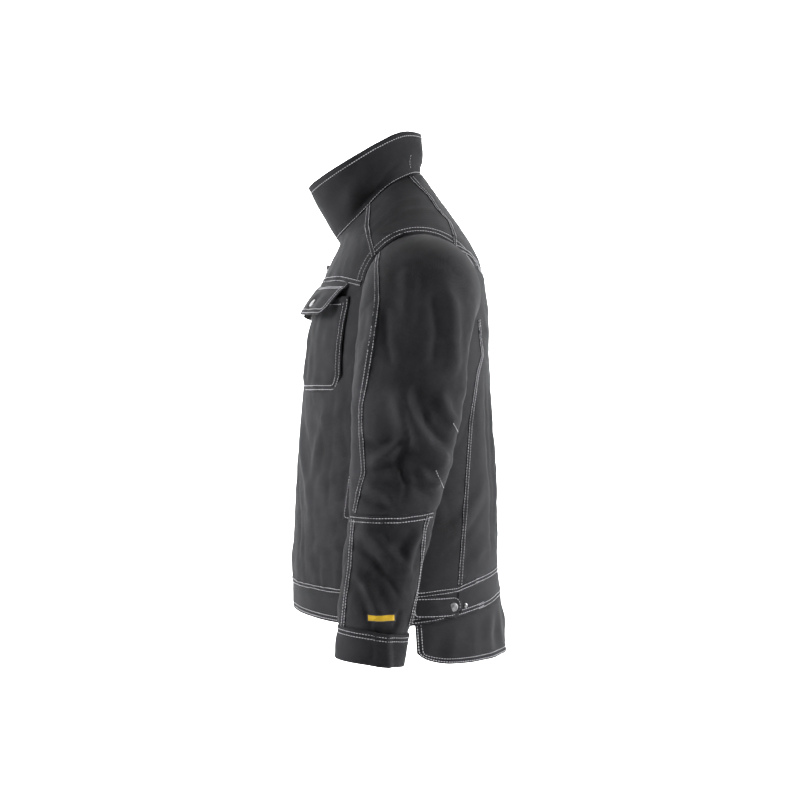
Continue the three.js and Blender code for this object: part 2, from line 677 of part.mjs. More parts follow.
// ---- Snaps -----------------------------------------------------------------------------
function facing(geometry, place, direction) {
  const turn = new THREE.Quaternion().setFromUnitVectors(new THREE.Vector3(0, 1, 0), direction);
  return geometry.applyQuaternion(turn).translate(place.x, place.y, place.z);
}

function snapCap(place, direction) {
  const profile = [
    [0, 0], [SNAP_RADIUS, 0], [SNAP_RADIUS, SNAP_HEIGHT * 0.5], [SNAP_RADIUS * 0.7, SNAP_HEIGHT],
    [0, SNAP_HEIGHT],
  ].map(([r, h]) => new THREE.Vector2(r, h));
  return facing(new THREE.LatheGeometry(profile, 10), place, direction);
}

function snapStud(place, direction) {
  const stud = new THREE.CylinderGeometry(STUD_RADIUS, STUD_RADIUS, STUD_HEIGHT, 8);
  return facing(stud.translate(0, STUD_HEIGHT / 2, 0), place, direction);
}

// ---- Waist tabs ------------------------------------------------------------------------
function addTabs() {
  const rows = 2;
  const columns = 6;
  const face = (distance) => (c, r) => {
    const z = TAB_TOP_Z - TAB_HEIGHT * (r / rows);
    const tip = r === rows ? 0 : TAB_POINT * (r === 0 ? 1 : 0);
    const y = mix(TAB_FRONT_Y, TAB_BACK_Y - tip, c / columns);
    return onBody(angleAtDepth(y, z), z, distance);
  };
  const near = TAB_STAND_OFF;
  addPair('waist_tab', sheet(columns, rows, face(near), face(near + TAB_THICKNESS)), canvas);
  const snapZ = TAB_TOP_Z - TAB_HEIGHT / 2;
  const snapAngle = angleAtDepth(TAB_BACK_Y - TAB_SNAP_INSET, snapZ);
  const spareAngle = angleAtDepth(TAB_BACK_Y - TAB_SNAP_INSET + SPARE_STUD_STEP, snapZ);
  const outward = (angle) => onBody(angle, snapZ, 1).sub(onBody(angle, snapZ, 0)).normalize();
  const capHeight = near + TAB_THICKNESS + 0.5;
  addPair('waist_snap', snapCap(onBody(snapAngle, snapZ, capHeight), outward(snapAngle)), metal);
  addPair('waist_stud', snapStud(onBody(snapAngle, snapZ, 0.5), outward(snapAngle)), metal);
  addPair('spare_stud', snapStud(onBody(spareAngle, snapZ, 0.5), outward(spareAngle)), metal);
}

// ---- Front closure ---------------------------------------------------------------------
const ZIP_CENTRE_Y = ZIP_BELLY_Y + ZIP_RADIUS;

// A point on the closure's arc, moved in towards the wearer by a depth.
function onZip(x, z, depth) {
  const lift = Math.asin((z - ZIP_BELLY_Z) / ZIP_RADIUS);
  const radius = ZIP_RADIUS - depth;
  return new THREE.Vector3(x, ZIP_CENTRE_Y - radius * Math.cos(lift), ZIP_BELLY_Z + radius * Math.sin(lift));
}

function zipStrip(xLow, xHigh, zLow, zHigh, depth, thickness, rows) {
  const face = (deep) => (c, r) => onZip(mix(xLow, xHigh, c), mix(zLow, zHigh, r / rows), deep);
  return sheet(1, rows, face(depth), face(depth + thickness));
}

const TEETH_IN = 1.5;
const TAPE_IN = 8;
const GUARD_IN = 12;
const GUARD_HALF_WIDTH = 26;
const GUARD_THICKNESS = 3;

function addZip() {
  const rows = 10;
  const half = TEETH_HALF_WIDTH;
  add('zip_teeth', zipStrip(-half, half, ZIP_BOTTOM_Z + 12, ZIP_TOP_Z, TEETH_IN, TEETH_DEPTH, rows), metal);
  const tapeFrom = SEAM_GAP;
  addPair('zip_tape', zipStrip(
    tapeFrom, tapeFrom + TAPE_WIDTH, ZIP_BOTTOM_Z, ZIP_TOP_Z, TAPE_IN, TAPE_THICKNESS, rows,
  ), tape);
  add('zip_box', zipStrip(-6, 6, ZIP_BOTTOM_Z, ZIP_BOTTOM_Z + 11.5, 0, 6, 1), metal);
  add('wind_guard', zipStrip(
    -GUARD_HALF_WIDTH, GUARD_HALF_WIDTH, ZIP_BOTTOM_Z, ZIP_TOP_Z, GUARD_IN, GUARD_THICKNESS, rows,
  ), lining);
  addSlider();
}

const SLIDER_OUT = 4.5;       // how far the slider stands in front of the arc
const PIVOT_OUT = 7;          // the puller's pin, in front of the arc
const PIN_RADIUS = 0.8;

function addSlider() {
  const topZ = ZIP_TOP_Z - 4;
  const lowZ = topZ - SLIDER_LENGTH;
  const body = solid(zipStrip(
    -SLIDER_HALF_WIDTH, SLIDER_HALF_WIDTH, lowZ, topZ, -SLIDER_OUT, SLIDER_OUT + TEETH_IN + TEETH_DEPTH + 2.5, 1,
  ));
  const clear = SLIDER_CLEARANCE;
  const channel = solid(zipStrip(
    -TEETH_HALF_WIDTH - clear, TEETH_HALF_WIDTH + clear, lowZ - 5, topZ + 5, TEETH_IN - clear,
    TEETH_DEPTH + 2 * clear, 1,
  ));
  const lug = (x) => solid(zipStrip(x - 0.9, x + 0.9, topZ - 8, topZ - 2, -PIVOT_OUT - 2.2, 6, 1));
  const slider = body.subtract(channel).add(lug(-4)).add(lug(4));
  add('zip_slider', geometryOf(slider), metal);

  const pivotZ = topZ - 5;
  const pin = onZip(0, pivotZ, -PIVOT_OUT);
  const end = onZip(0, pivotZ - PULLER_LENGTH, -PIVOT_OUT);
  const fall = end.clone().sub(pin).normalize();
  const out = new THREE.Vector3(0, fall.z, -fall.y);
  const point = (x, down, depth) => (
    pin.clone().addScaledVector(fall, down).addScaledVector(out, depth).setX(x)
  );
  const widths = [2.2, 2.2, 3.5, 3.5];
  const downs = [-1.6, 6, 12, PULLER_LENGTH];
  const face = (depth) => (c, r) => point(mix(-widths[r], widths[r], c), downs[r], depth);
  add('zip_puller', sheet(1, 3, face(-PIN_RADIUS), face(PIN_RADIUS)), metal);
}

// ---- Hand pocket welts -----------------------------------------------------------------
const WELT = { topZ: -372, bottomZ: -520, topY: -92, bottomY: -112, width: 18, thickness: 2 };

function addWelts() {
  const rows = 5;
  const face = (distance) => (c, r) => {
    const z = mix(WELT.topZ, WELT.bottomZ, r / rows);
    const y = mix(WELT.topY, WELT.bottomY, r / rows) + mix(0, WELT.width, c / 2);
    return onBody(angleAtDepth(y, z), z, distance);
  };
  const welt = sheet(2, rows, face(PATCH_GAP), face(PATCH_GAP + WELT.thickness));
  addPair('hand_pocket_welt', welt, canvas);
}

addBodyPanels();
addLining();
addCollar();
addHangerLoop();
addNeckLabel();
addSleeves();
addSleevePatch();
addPockets();
addFlaps();
addTabs();
addZip();
addWelts();

// The frame's origin is where a hook bears on the hanger loop.
jacket.position.set(
  0, -(LOOP_FRONT_Y + LOOP_WIDTH / 2), -(LOOP_FOOT_Z + LOOP_HEIGHT - LOOP_THICKNESS),
);

export default jacket;
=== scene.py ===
import bpy
import numpy as np
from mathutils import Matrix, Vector
from mathutils.bvhtree import BVHTree


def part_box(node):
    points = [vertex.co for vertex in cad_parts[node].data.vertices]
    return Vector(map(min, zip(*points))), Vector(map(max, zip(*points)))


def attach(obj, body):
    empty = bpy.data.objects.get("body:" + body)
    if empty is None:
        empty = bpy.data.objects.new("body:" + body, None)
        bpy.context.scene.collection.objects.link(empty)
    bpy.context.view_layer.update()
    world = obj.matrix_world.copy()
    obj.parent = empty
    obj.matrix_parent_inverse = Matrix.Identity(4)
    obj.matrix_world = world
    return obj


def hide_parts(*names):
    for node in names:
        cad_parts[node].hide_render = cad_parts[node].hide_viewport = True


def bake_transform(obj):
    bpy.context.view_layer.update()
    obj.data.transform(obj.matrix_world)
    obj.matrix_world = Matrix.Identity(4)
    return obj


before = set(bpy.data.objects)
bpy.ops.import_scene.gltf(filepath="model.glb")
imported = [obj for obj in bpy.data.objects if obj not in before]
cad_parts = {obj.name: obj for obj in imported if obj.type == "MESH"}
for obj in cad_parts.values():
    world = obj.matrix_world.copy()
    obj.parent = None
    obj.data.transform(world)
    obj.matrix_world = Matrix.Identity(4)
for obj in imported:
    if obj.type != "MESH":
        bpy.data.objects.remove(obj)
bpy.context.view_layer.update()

# Shapes are worked out in millimetres from the back neck seam, and moved to the frame's
# origin, the hook's seat, when a mesh is made.
ORIGIN = np.array([0.0, 13.5, -14.4])
SHOULDER_Z = -107.0
ARMHOLE = {"y": 2.0, "z": -193.0, "radius": 86.0}
SLEEVE_X = 231.0
UNDERARM_Z = -283.0
ELBOW_Z = -506.0
CUFF_Z = -668.0
SIDES = {"left": 1, "right": -1}


# ---- Curves and surfaces ---------------------------------------------------------------
def curve(pairs):
    """A smooth curve through (at, value) pairs, straight beyond its ends."""
    at, value = np.array(sorted(pairs), float).T
    index = np.arange(len(at))
    before, after = np.maximum(index - 1, 0), np.minimum(index + 1, len(at) - 1)
    slope = (value[after] - value[before]) / (at[after] - at[before])

    def evaluate(x):
        x = np.asarray(x, float)
        i = np.clip(np.searchsorted(at, x, side="right") - 1, 0, len(at) - 2)
        step = at[i + 1] - at[i]
        t = np.clip((x - at[i]) / step, 0, 1)
        rise = t * t * (3 - 2 * t)
        y = value[i] * (1 - rise) + value[i + 1] * rise
        y = y + slope[i] * step * t * (1 - t) ** 2 + slope[i + 1] * step * t * t * (t - 1)
        return y + slope[0] * np.minimum(x - at[0], 0) + slope[-1] * np.maximum(x - at[-1], 0)

    return evaluate


front_line = curve([(-729, -194), (-659, -194.5), (-615, -195), (-505, -191), (-414, -186), (-319, -178),
                    (-265, -171), (-217, -161), (-168, -149), (-113, -124.6), (-60, -100)])
back_line = curve([(-729, 136), (-642, 126), (-584, 119), (-490, 119), (-403, 115), (-305, 109),
                   (-214, 107), (-153, 98), (-122, 88), (-60, 55)])
half_width = curve([(-729, 223), (-664, 220), (-560, 221), (-400, 224), (-300, 226), (-200, 226),
                    (-107, 222)])
neck_seam_z = curve([(-127, -99), (-90, -66), (-50, -25), (-14, -3), (4, 3)])
rim_z = curve([(-172, -19), (-97, 23), (-60, 44), (-26, 61), (2, 65)])
sleeve_front = curve([(-713, -120), (-644, -113.5), (-589, -111), (-519, -103), (-421, -99),
                      (-326, -96), (-283, -93)])
sleeve_back = curve([(-713, -24.5), (-652, -14), (-589, -1.5), (-547, 11), (-506, 21),
                     (-472, 32), (-421, 45), (-334, 63), (-283, 66)])
sleeve_inner = curve([(-713, 258), (-600, 252), (-506, 246), (-400, 239), (-283, 234)])
sleeve_thickness = curve([(-713, 78), (-600, 94), (-506, 106), (-400, 119), (-283, 126)])
hem_line = curve([(-200, -664), (-170, -667), (-124, -671), (-15, -672), (20, -668), (43, -664), (60, -661),
                  (84, -656), (122, -645)])
cap_reach = curve([(0, 172), (0.35, 153), (0.7, 136), (1, 129)])


def smooth(x, low=0.0, high=1.0):
    t = np.clip((x - low) / (high - low), 0, 1)
    return t * t * (3 - 2 * t)


def signed_power(x, exponent):
    return np.sign(x) * np.abs(x) ** exponent


def back_power(z):
    """The power that squares off the back half of a section of the body."""
    return 1 - 0.1 * np.clip((SHOULDER_Z - z) / 60, 0, 1)


def body_section(angle, z):
    """Points round the body at a height; the angle is 0 at centre front."""
    front, back = front_line(z), back_line(z)
    square = np.where(np.cos(angle) > 0, 1, back_power(z))
    x = half_width(z) * signed_power(np.sin(angle), square)
    y = (front + back) / 2 - (back - front) / 2 * signed_power(np.cos(angle), square)
    return np.stack([x, y, z + 0 * x], -1)


def ring(angle, front, depth, half, height):
    y = front + depth * (1 - np.cos(angle)) / 2
    return np.stack([half * np.sin(angle), y, height(y)], -1)


def neck_seam(angle):
    return ring(angle, -127, 131, 74, neck_seam_z)


def collar_rim(angle):
    return ring(angle, -172, 174, 82, rim_z)


def hem_z(angle):
    z = np.full_like(angle, -668.0)
    for _ in range(3):
        z = hem_line(body_section(angle, z)[..., 1])
    return z


def body_base(angle, v):
    """Angle runs round from centre front; v is 0 at the hem, 1 at the shoulder, 2 at the neck."""
    low = hem_z(angle)
    z = low + (SHOULDER_Z - low) * np.minimum(v, 1)
    t = np.clip(v - 1, 0, 1)[..., None]
    top = neck_seam(angle)
    point = body_section(angle, z) * (1 - t) + top * t
    point[..., 2] += 6 * np.sin(np.pi * t[..., 0]) * np.abs(np.sin(angle))
    return point


def body_side_x(y, z):
    """How far out the body's side is at a depth and height below the shoulder."""
    front, back = front_line(z), back_line(z)
    c = np.clip(((front + back) / 2 - y) / ((back - front) / 2), -1, 1)
    square = np.where(c > 0, 1, back_power(z))
    c = np.abs(c) ** (1 / square)
    return half_width(z) * np.maximum(1 - c * c, 0) ** (square / 2)


def sleeve_base(angle, station):
    """Station -1 is the armhole, 0 to 1 turns over the shoulder, and beyond 1 is 100 mm each."""
    around, along = np.cos(angle), np.sin(angle)
    s = np.clip(station, 0, 1)
    turn = s * np.pi / 2
    reach = cap_reach(s)
    radius = (reach + 3) / 2 + (reach - 3) / 2 * around
    front = (-82.5) * (1 - s) + sleeve_front(UNDERARM_Z) * s
    back = 86.5 * (1 - s) + sleeve_back(UNDERARM_Z) * s
    cap = np.stack([SLEEVE_X + radius * np.sin(turn), (front + back) / 2 + (back - front) / 2 * along,
                    UNDERARM_Z + radius * np.cos(turn)], -1)
    z = UNDERARM_Z - np.maximum(station - 1, 0) * 100
    half = sleeve_thickness(z) / 2
    lean = -0.135 * smooth(-z, -ELBOW_Z, -CUFF_Z)
    dy = (sleeve_back(z) - sleeve_front(z)) / 2 * along
    arm = np.stack([sleeve_inner(z) + half + half * around, (sleeve_front(z) + sleeve_back(z)) / 2 + dy,
                    z + lean * dy], -1)
    hole_y = ARMHOLE["y"] + (ARMHOLE["radius"] - 1) * along
    hole_z = ARMHOLE["z"] + (ARMHOLE["radius"] - 1) * around
    hole = np.stack([body_side_x(hole_y, hole_z) - 2.5, hole_y, hole_z], -1)
    t = smooth(np.clip(station + 1, 0, 1))[..., None]
    near = hole * (1 - t) + cap * t
    point = np.where((station > 1)[..., None], arm, cap)
    return np.where((station < 0)[..., None], near, point)


def unit(vectors):
    return vectors / np.maximum(np.linalg.norm(vectors, axis=-1, keepdims=True), 1e-9)


def grid_normals(points, wrap):
    if wrap:
        along = np.roll(points, -1, 1) - np.roll(points, 1, 1)
    else:
        along = np.gradient(points, axis=1)
    up = np.gradient(points, axis=0)
    return unit(np.cross(along, up))


# ---- Folds -----------------------------------------------------------------------------
def near_path(y, z, path):
    """Signed distance from points to a path, and how far along it they are, in mm."""
    path = np.array(path, float)
    best = np.full(y.shape, 1e9)
    signed = np.zeros(y.shape)
    at = np.zeros(y.shape)
    start = 0.0
    for a, b in zip(path[:-1], path[1:]):
        d = b - a
        length = np.hypot(*d)
        t = np.clip(((y - a[0]) * d[0] + (z - a[1]) * d[1]) / length ** 2, 0, 1)
        ey, ez = y - a[0] - t * d[0], z - a[1] - t * d[1]
        dist = np.hypot(ey, ez)
        side = np.sign(d[0] * ez - d[1] * ey)
        closer = dist < best
        best = np.where(closer, dist, best)
        signed = np.where(closer, dist * side, signed)
        at = np.where(closer, start + t * length, at)
        start += length
    return signed, at, start


def fade(at, length, taper):
    """1 along a path, falling to 0 at its ends."""
    return smooth(at / length, 0, taper) * smooth(1 - at / length, 0, taper)


def fold(y, z, path, width, height, skew=0.0, taper=0.3):
    """A ridge (or a crease, if height is negative) that fades out at both ends of its path."""
    d, at, length = near_path(y, z, path)
    d = d * (1 + skew * np.sign(d))
    ridge = np.exp(-((d / width) ** 2)) - 0.38 * np.exp(-((d / (2.4 * width)) ** 2))
    return height * fade(at, length, taper) * ridge


def crease(y, z, path, width, depth, taper=0.25):
    """A sharp valley between two soft banks."""
    d, at, length = near_path(y, z, path)
    valley = 0.55 * np.exp(-((d / (1.9 * width)) ** 2)) - np.exp(-np.sqrt(d * d + 1) / width)
    return depth * fade(at, length, taper) * valley


def folds(y, z, table):
    """All the folds of a table, whose rows are each one's kind, path and measures."""
    return sum(kind(y, z, path, *measures) for kind, path, *measures in table)


def ripples(u, v, seed, wave, stretch=1.0, count=6):
    """Smooth irregular waves, about one across, longer along u by the stretch."""
    rng = np.random.default_rng(seed)
    total = 0 * u
    for _ in range(count):
        tilt, phase, bend = rng.uniform(0, 2 * np.pi, 3)
        size = wave * rng.uniform(0.7, 1.5)
        p = (u * np.cos(tilt) / stretch + v * np.sin(tilt)) / size
        q = (v * np.cos(tilt) - u * np.sin(tilt) / stretch) / size
        total = total + np.sin(2 * np.pi * p + phase + 1.4 * np.sin(2 * np.pi * 0.45 * q + bend))
    return total / np.sqrt(count)


def creased(waves):
    """Turns smooth waves into broad swells with narrow valleys."""
    return 1 - np.exp(-1.6 * np.abs(waves)) - 0.55


# ---- Where the jacket is sewn: side views, (depth, height) ------------------------------
FRONT_SHOULDER_SEAM = [(-76, 8), (-76, -49), (-78, -92), (-74, -112), (-65, -147)]
BACK_SHOULDER_SEAM = [(51, -127), (50, -103), (44, -82), (27, -63), (15, -41), (-2, -22), (-14, -6)]
FRONT_YOKE_SEAM = [(-118, -168), (-84, -179)]
BACK_YOKE_SEAM = [(52, -123), (60, -125), (75, -131), (89, -146)]
BACK_SIDE_SEAM = [(87, -228), (91, -267), (93, -280), (85, -307), (79, -346), (74, -379), (70, -436),
                  (67, -481), (62, -555), (57, -618)]
FRONT_BAND_SEAM = [(-190, -621), (-150, -623), (-100, -625), (-15, -628)]
BACK_BAND_SEAM = [(-15, -628), (43, -624), (56, -622), (84, -612), (112, -605)]
SLEEVE_SEAM = [(-62, -156), (-61, -210), (-68, -264), (-77, -319), (-83.4, -354), (-83.4, -390),
               (-81.2, -418), (-79.5, -447), (-87, -475), (-92.7, -504), (-96, -534), (-98.7, -577),
               (-104, -613), (-109, -664)]
SLEEVE_BACK_SEAM = [(9.3, -507), (4, -525), (0.5, -568), (-5, -610), (-16, -660)]
PLEAT_EDGE = [(87, -200), (86, -232), (91, -266), (95, -276)]

# Folds of the body's sides, seen from the side; each is a kind, a path and its measures.
BODY_FOLDS = [
    (fold, [(60, -300), (40, -360), (25, -430), (10, -500)], 9, 4.5, 0.3),
    (fold, [(92, -300), (88, -380), (92, -470)], 8, 3.5),
    (crease, [(96, -300), (80, -360), (60, -405), (38, -440)], 7, 4),
    (fold, [(110, -430), (90, -480), (62, -520), (30, -545)], 9, 4.5, -0.3),
    (crease, [(112, -470), (92, -510), (66, -548), (30, -572)], 7, 4.5),
    (fold, [(115, -520), (96, -560), (70, -592)], 8, 3.5),
    (fold, [(-60, -400), (-100, -440), (-150, -470), (-185, -480)], 11, 4.5),
    (crease, [(-70, -455), (-110, -490), (-150, -508), (-188, -512)], 8, 4.5),
    (fold, [(-60, -520), (-105, -550), (-150, -565), (-185, -562)], 10, 4.5),
    (crease, [(-90, -575), (-130, -590), (-180, -592)], 7, 3.5),
    (fold, [(-95, -340), (-130, -372), (-175, -380)], 10, 3.5),
    (crease, [(-104, -120), (-112, -140), (-135, -160)], 6, 3),
    (fold, [(60, -140), (85, -175), (100, -215)], 9, 3),
    (fold, [(40, -60), (30, -80), (35, -110)], 9, 2.5),
]
# Folds of one half of the front and of the back, seen square on.
FRONT_FOLDS = [
    (fold, [(30, -360), (60, -400), (110, -470), (150, -560)], 14, 4.5),
    (crease, [(25, -420), (60, -470), (90, -540), (100, -600)], 9, 4),
    (fold, [(170, -350), (140, -420), (120, -500)], 12, 4),
    (fold, [(95, -150), (70, -185)], 8, 2),
]
BACK_FOLDS = [
    (fold, [(60, -300), (75, -400), (70, -520), (80, -600)], 13, 4.5),
    (crease, [(100, -290), (112, -400), (100, -520), (108, -600)], 9, 4.5),
    (fold, [(20, -380), (32, -480), (20, -590)], 12, 3.5),
    (fold, [(130, -190), (90, -240), (40, -262)], 12, 3),
    (crease, [(140, -230), (100, -275), (50, -300)], 8, 3),
]
# Folds of the sleeve's outer side, from the shoulder to the cuff.
SLEEVE_FOLDS = [
    (fold, [(-30, -322), (-16, -374), (11, -411), (40, -437), (52, -452)], 13, 9, 0.25, 0.2),
    (crease, [(-31, -328), (-24, -360), (-17, -400), (-26, -418), (-33, -432), (-22, -462), (-23, -492)],
     7, 7),
    (fold, [(-74, -440), (-48, -424), (-21, -403)], 8, 6, -0.2),
    (crease, [(-84, -400), (-60, -412), (-30, -398)], 7, 5),
    (crease, [(-2, -352), (8, -380), (30, -404), (52, -418)], 8, 6),
    (fold, [(20, -330), (34, -362), (56, -392)], 10, 5),
    (fold, [(-10, -440), (10, -458), (34, -470)], 8, 5),
    (crease, [(-30, -455), (0, -474), (28, -486)], 7, 5),
    (fold, [(-82, -462), (-56, -470), (-28, -488)], 8, 4.5),
    (crease, [(-92, -478), (-60, -488), (-34, -499)], 6, 4),
    (fold, [(-60, -190), (-66, -250), (-80, -310), (-88, -360)], 11, 4),
    (crease, [(-50, -215), (-48, -270), (-40, -310)], 9, 3.5),
    (fold, [(30, -170), (44, -230), (46, -290), (36, -330)], 12, 4.5),
    (crease, [(12, -190), (20, -250), (14, -310)], 9, 3.5),
    (fold, [(-20, -140), (-18, -190), (-24, -260)], 12, 2.5),
    (fold, [(-90, -520), (-60, -540), (-30, -572), (-8, -600)], 10, 5.5, 0.2),
    (crease, [(-92, -545), (-64, -566), (-40, -600), (-26, -630)], 7, 5),
    (fold, [(5, -520), (-14, -548), (-22, -590)], 8, 4),
    (fold, [(-98, -580), (-76, -600), (-58, -640), (-52, -664)], 8, 4.5),
    (crease, [(-80, -625), (-70, -650), (-68, -668)], 5, 3.5),
    (crease, [(-30, -632), (-36, -650), (-38, -668)], 5, 4),
]
INNER_SLEEVE_FOLDS = [
    (fold, [(-80, -420), (-30, -450), (20, -470)], 12, 3),
    (crease, [(-80, -470), (-30, -490), (10, -500)], 9, 3),
]


def body_relief(point, normal):
    """How far the body's cloth stands off its plain shape."""
    x, y, z = point[..., 0], point[..., 1], point[..., 2]
    side = smooth(np.abs(normal[..., 0]), 0.25, 0.6) * smooth(np.abs(x), 60, 110)
    mirror = np.where(x > 0, 0.0, 37.0)
    flat = np.sqrt(x * x + (y + 30) ** 2) * np.arctan2(x, -(y + 30)) + mirror
    low = smooth(-z, 130, 260)
    out = 1.5 * low * creased(ripples(flat, z, 10, 95, 0.8))
    out += 0.45 * ripples(flat, z, 11, 46, 1.2)
    out += 0.12 * ripples(flat, z, 12, 17, 1.3)
    # The band at the waist is pulled flat; the cloth over it blouses and puckers into the seam.
    band = near_path(y, z, [(-260, -621), (-15, -628), (56, -622), (84, -612), (160, -592)])[0]
    above = np.where(band > 0, 1.0, 0.0)
    out = out * (1 - 0.75 * smooth(-band, -4, 6))
    out += 3.2 * above * np.exp(-(((band - 30) / 26) ** 2)) - 1.6 * np.exp(-((band / 4) ** 2))
    pucker = ripples(flat, 0 * z, 13, 48, 1, 4)
    out += 1.5 * above * pucker * np.exp(-band.clip(0) / 34) * smooth(band, 0, 6)
    out += np.clip(folds(y, z, BODY_FOLDS), -6, 6) * side
    # Front and back faces: drag lines to the armholes and long soft folds.
    face = smooth(np.abs(normal[..., 1]), 0.5, 0.8)
    ax = np.abs(x)
    front = face * np.where(normal[..., 1] < 0, 1.0, 0.0)
    back = face * np.where(normal[..., 1] > 0, 1.0, 0.0)
    out += folds(ax, z, FRONT_FOLDS) * front + folds(ax, z, BACK_FOLDS) * back
    # The action pleat at the back of the shoulder, and the dart under it.
    d, at, length = near_path(y, z, PLEAT_EDGE)
    out += side * fade(at, length, 0.1) * np.where(d > 0, 5 * np.exp(-d / 34), -2.5 * np.exp(d / 9))
    # Cloth lies flat in its seams.
    for path in (FRONT_SHOULDER_SEAM, BACK_SHOULDER_SEAM, BACK_SIDE_SEAM, BACK_YOKE_SEAM):
        d, at, _ = near_path(y, z, path)
        pucker = 0.5 * np.sin(at / 2.6 + 2 * np.sin(at / 31)) * np.exp(-((d / 9) ** 2))
        out += side * (-1.1 * np.exp(-((d / 11) ** 2)) + pucker)
    # Nothing stands off at the armhole, the neck and the front edges.
    hole = np.hypot(y - ARMHOLE["y"], z - ARMHOLE["z"]) - ARMHOLE["radius"]
    calm = np.where(np.abs(x) > 90, smooth(hole, 0, 30), 1.0)
    calm = calm * np.where(y < 0, smooth(ax, 8, 26), 1.0)
    neck = np.clip((z + 100) / 90, 0, 1)
    limit = np.where(ax > 190, 3.0, 8.0)
    return np.clip(out * calm * (1 - 0.7 * neck), -7, limit)


def sleeve_relief(point, angle, station, seed):
    """How far the sleeve's cloth stands off its plain shape."""
    x, y, z = np.abs(point[..., 0]), point[..., 1], point[..., 2]
    outer = smooth(np.cos(angle), -0.35, 0.25)
    round_ = angle * 62
    out = 1.6 * creased(ripples(round_, z, seed, 80, 1.2))
    out += 0.6 * ripples(round_, z, seed + 1, 38, 1.5)
    out += 0.14 * ripples(round_, z, seed + 2, 15, 1.5)
    deep = 12 * np.tanh(folds(y, z, SLEEVE_FOLDS) / 5.2)
    out += deep * outer * (1 - 0.75 * smooth(np.sin(angle), 0.75, 1))
    out += np.clip(folds(y, z, INNER_SLEEVE_FOLDS), -3, 2) * (1 - outer)
    bag = np.exp(-(((z + 642) / 20) ** 2)) * 3.4 - 3.0 * smooth(-z, 655, 668)
    out = out * (1 - 0.6 * smooth(-z, 650, 668)) + bag
    pleats = np.sin(angle * 9 + 1.2 * np.sin(angle * 2)) * np.exp(-np.abs(z + 668) / 16)
    out += 0.9 * pleats * smooth(-z, 600, 660)
    elbow = np.abs(z - ELBOW_Z - 0.12 * np.clip(y, 0, 40))
    out += -1.2 * np.exp(-((elbow / 9) ** 2)) * outer
    d = near_path(y, z, SLEEVE_SEAM)[0]
    out += -1.0 * np.exp(-((d / 10) ** 2)) * outer
    start = smooth(station, -1, 0.25) * (0.25 + 0.75 * smooth(station, 0, 0.6))
    return np.clip(out * start, -12, np.where(x < SLEEVE_X + 25, 1.5, 12))


# ---- Meshes ----------------------------------------------------------------------------
def shaded(name, vertices, faces, material, uv=None, local=True):
    """A smooth mesh object from points in mm, or in metres if local is false."""
    vertices = (np.asarray(vertices) + ORIGIN) / 1000 if local else np.asarray(vertices)
    mesh = bpy.data.meshes.new(name)
    mesh.from_pydata(vertices.tolist(), [], [list(map(int, f)) for f in faces])
    mesh.polygons.foreach_set("use_smooth", [True] * len(mesh.polygons))
    if uv is not None:
        corners = np.empty(len(mesh.loops), int)
        mesh.loops.foreach_get("vertex_index", corners)
        layer = mesh.uv_layers.new(name="UVMap")
        layer.data.foreach_set("uv", np.asarray(uv, np.float32)[corners].ravel())
    mesh.materials.append(material)
    mesh.update()
    thing = bpy.data.objects.new(name, mesh)
    bpy.context.scene.collection.objects.link(thing)
    return thing


def lengths(points, axis=0):
    """How far along a line, or along the lines of a grid, each point is."""
    step = np.linalg.norm(np.diff(points, axis=axis), axis=-1)
    return np.concatenate([0 * step.take([0], axis), np.cumsum(step, axis)], axis)


def grid_faces(rows, columns, wrap, keep=None):
    index = np.arange(rows * columns).reshape(rows, columns)
    right = np.roll(index, -1, 1)
    a, b, c, d = index[:-1], right[:-1], right[1:], index[1:]
    quads = np.stack([a, b, c, d], -1)
    if not wrap:
        quads = quads[:, :-1]
    quads = quads.reshape(-1, 4)
    if keep is not None:
        quads = quads[keep.ravel()[quads].all(1)]
    return quads


def closed_faces(quads, count):
    """The faces of a thick sheet: both layers and its edges."""
    edges = np.stack([quads, np.roll(quads, -1, 1)], -1).reshape(-1, 2)
    key = edges[:, 0] * count + edges[:, 1]
    back = edges[:, 1] * count + edges[:, 0]
    rim = edges[~np.isin(key, back)]
    sides = np.stack([rim[:, 1], rim[:, 0], rim[:, 0] + count, rim[:, 1] + count], -1)
    return np.concatenate([quads, quads[:, ::-1] + count, sides])


def edge_round(points, wrap, thickness):
    """1 over the sheet, falling at its edges so that the two layers meet in a round fold."""
    up = lengths(points)
    near = np.minimum(up, up[-1] - up)
    if not wrap:
        run = lengths(points, 1)
        near = np.minimum(near, np.minimum(run, run[:, -1:] - run))
    t = 1 - np.clip(near / (thickness * 0.6), 0, 1)
    return np.maximum(np.sqrt(1 - t * t), 0.12)


def cloth(name, points, material, thickness, wrap=False, normals=None, keep=None, rounded=True):
    """A closed sheet of cloth whose outer face is a grid of points."""
    rows, columns = points.shape[:2]
    normals = grid_normals(points, wrap) if normals is None else normals
    half = thickness / 2
    full = edge_round(points, wrap, thickness) if rounded else np.ones((rows, columns))
    width = full[..., None] * half
    outer = points - normals * (half - width)
    inner = points - normals * (half + width)
    quads = grid_faces(rows, columns, wrap, keep)
    vertices = np.concatenate([outer.reshape(-1, 3), inner.reshape(-1, 3)])
    faces = closed_faces(quads, rows * columns)
    used, inverse = np.unique(faces, return_inverse=True)
    faces = inverse.reshape(faces.shape)
    run, rise = lengths(points, 1), lengths(points)
    uv = np.stack([run[rows // 2][None] + 0 * run, rise], -1) / 1000
    uv = np.concatenate([uv.reshape(-1, 2)] * 2)[used]
    thing = shaded(name, vertices[used], faces, material, uv)
    tree = BVHTree.FromPolygons(outer.reshape(-1, 3).tolist(), quads.tolist())
    return thing, tree


def dress(piece, place, slot, *nodes):
    """Hands a piece to its place function and hides the CAD nodes that it stands for; the slot is not used.
    """
    place(piece)
    if nodes:
        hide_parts(*nodes)


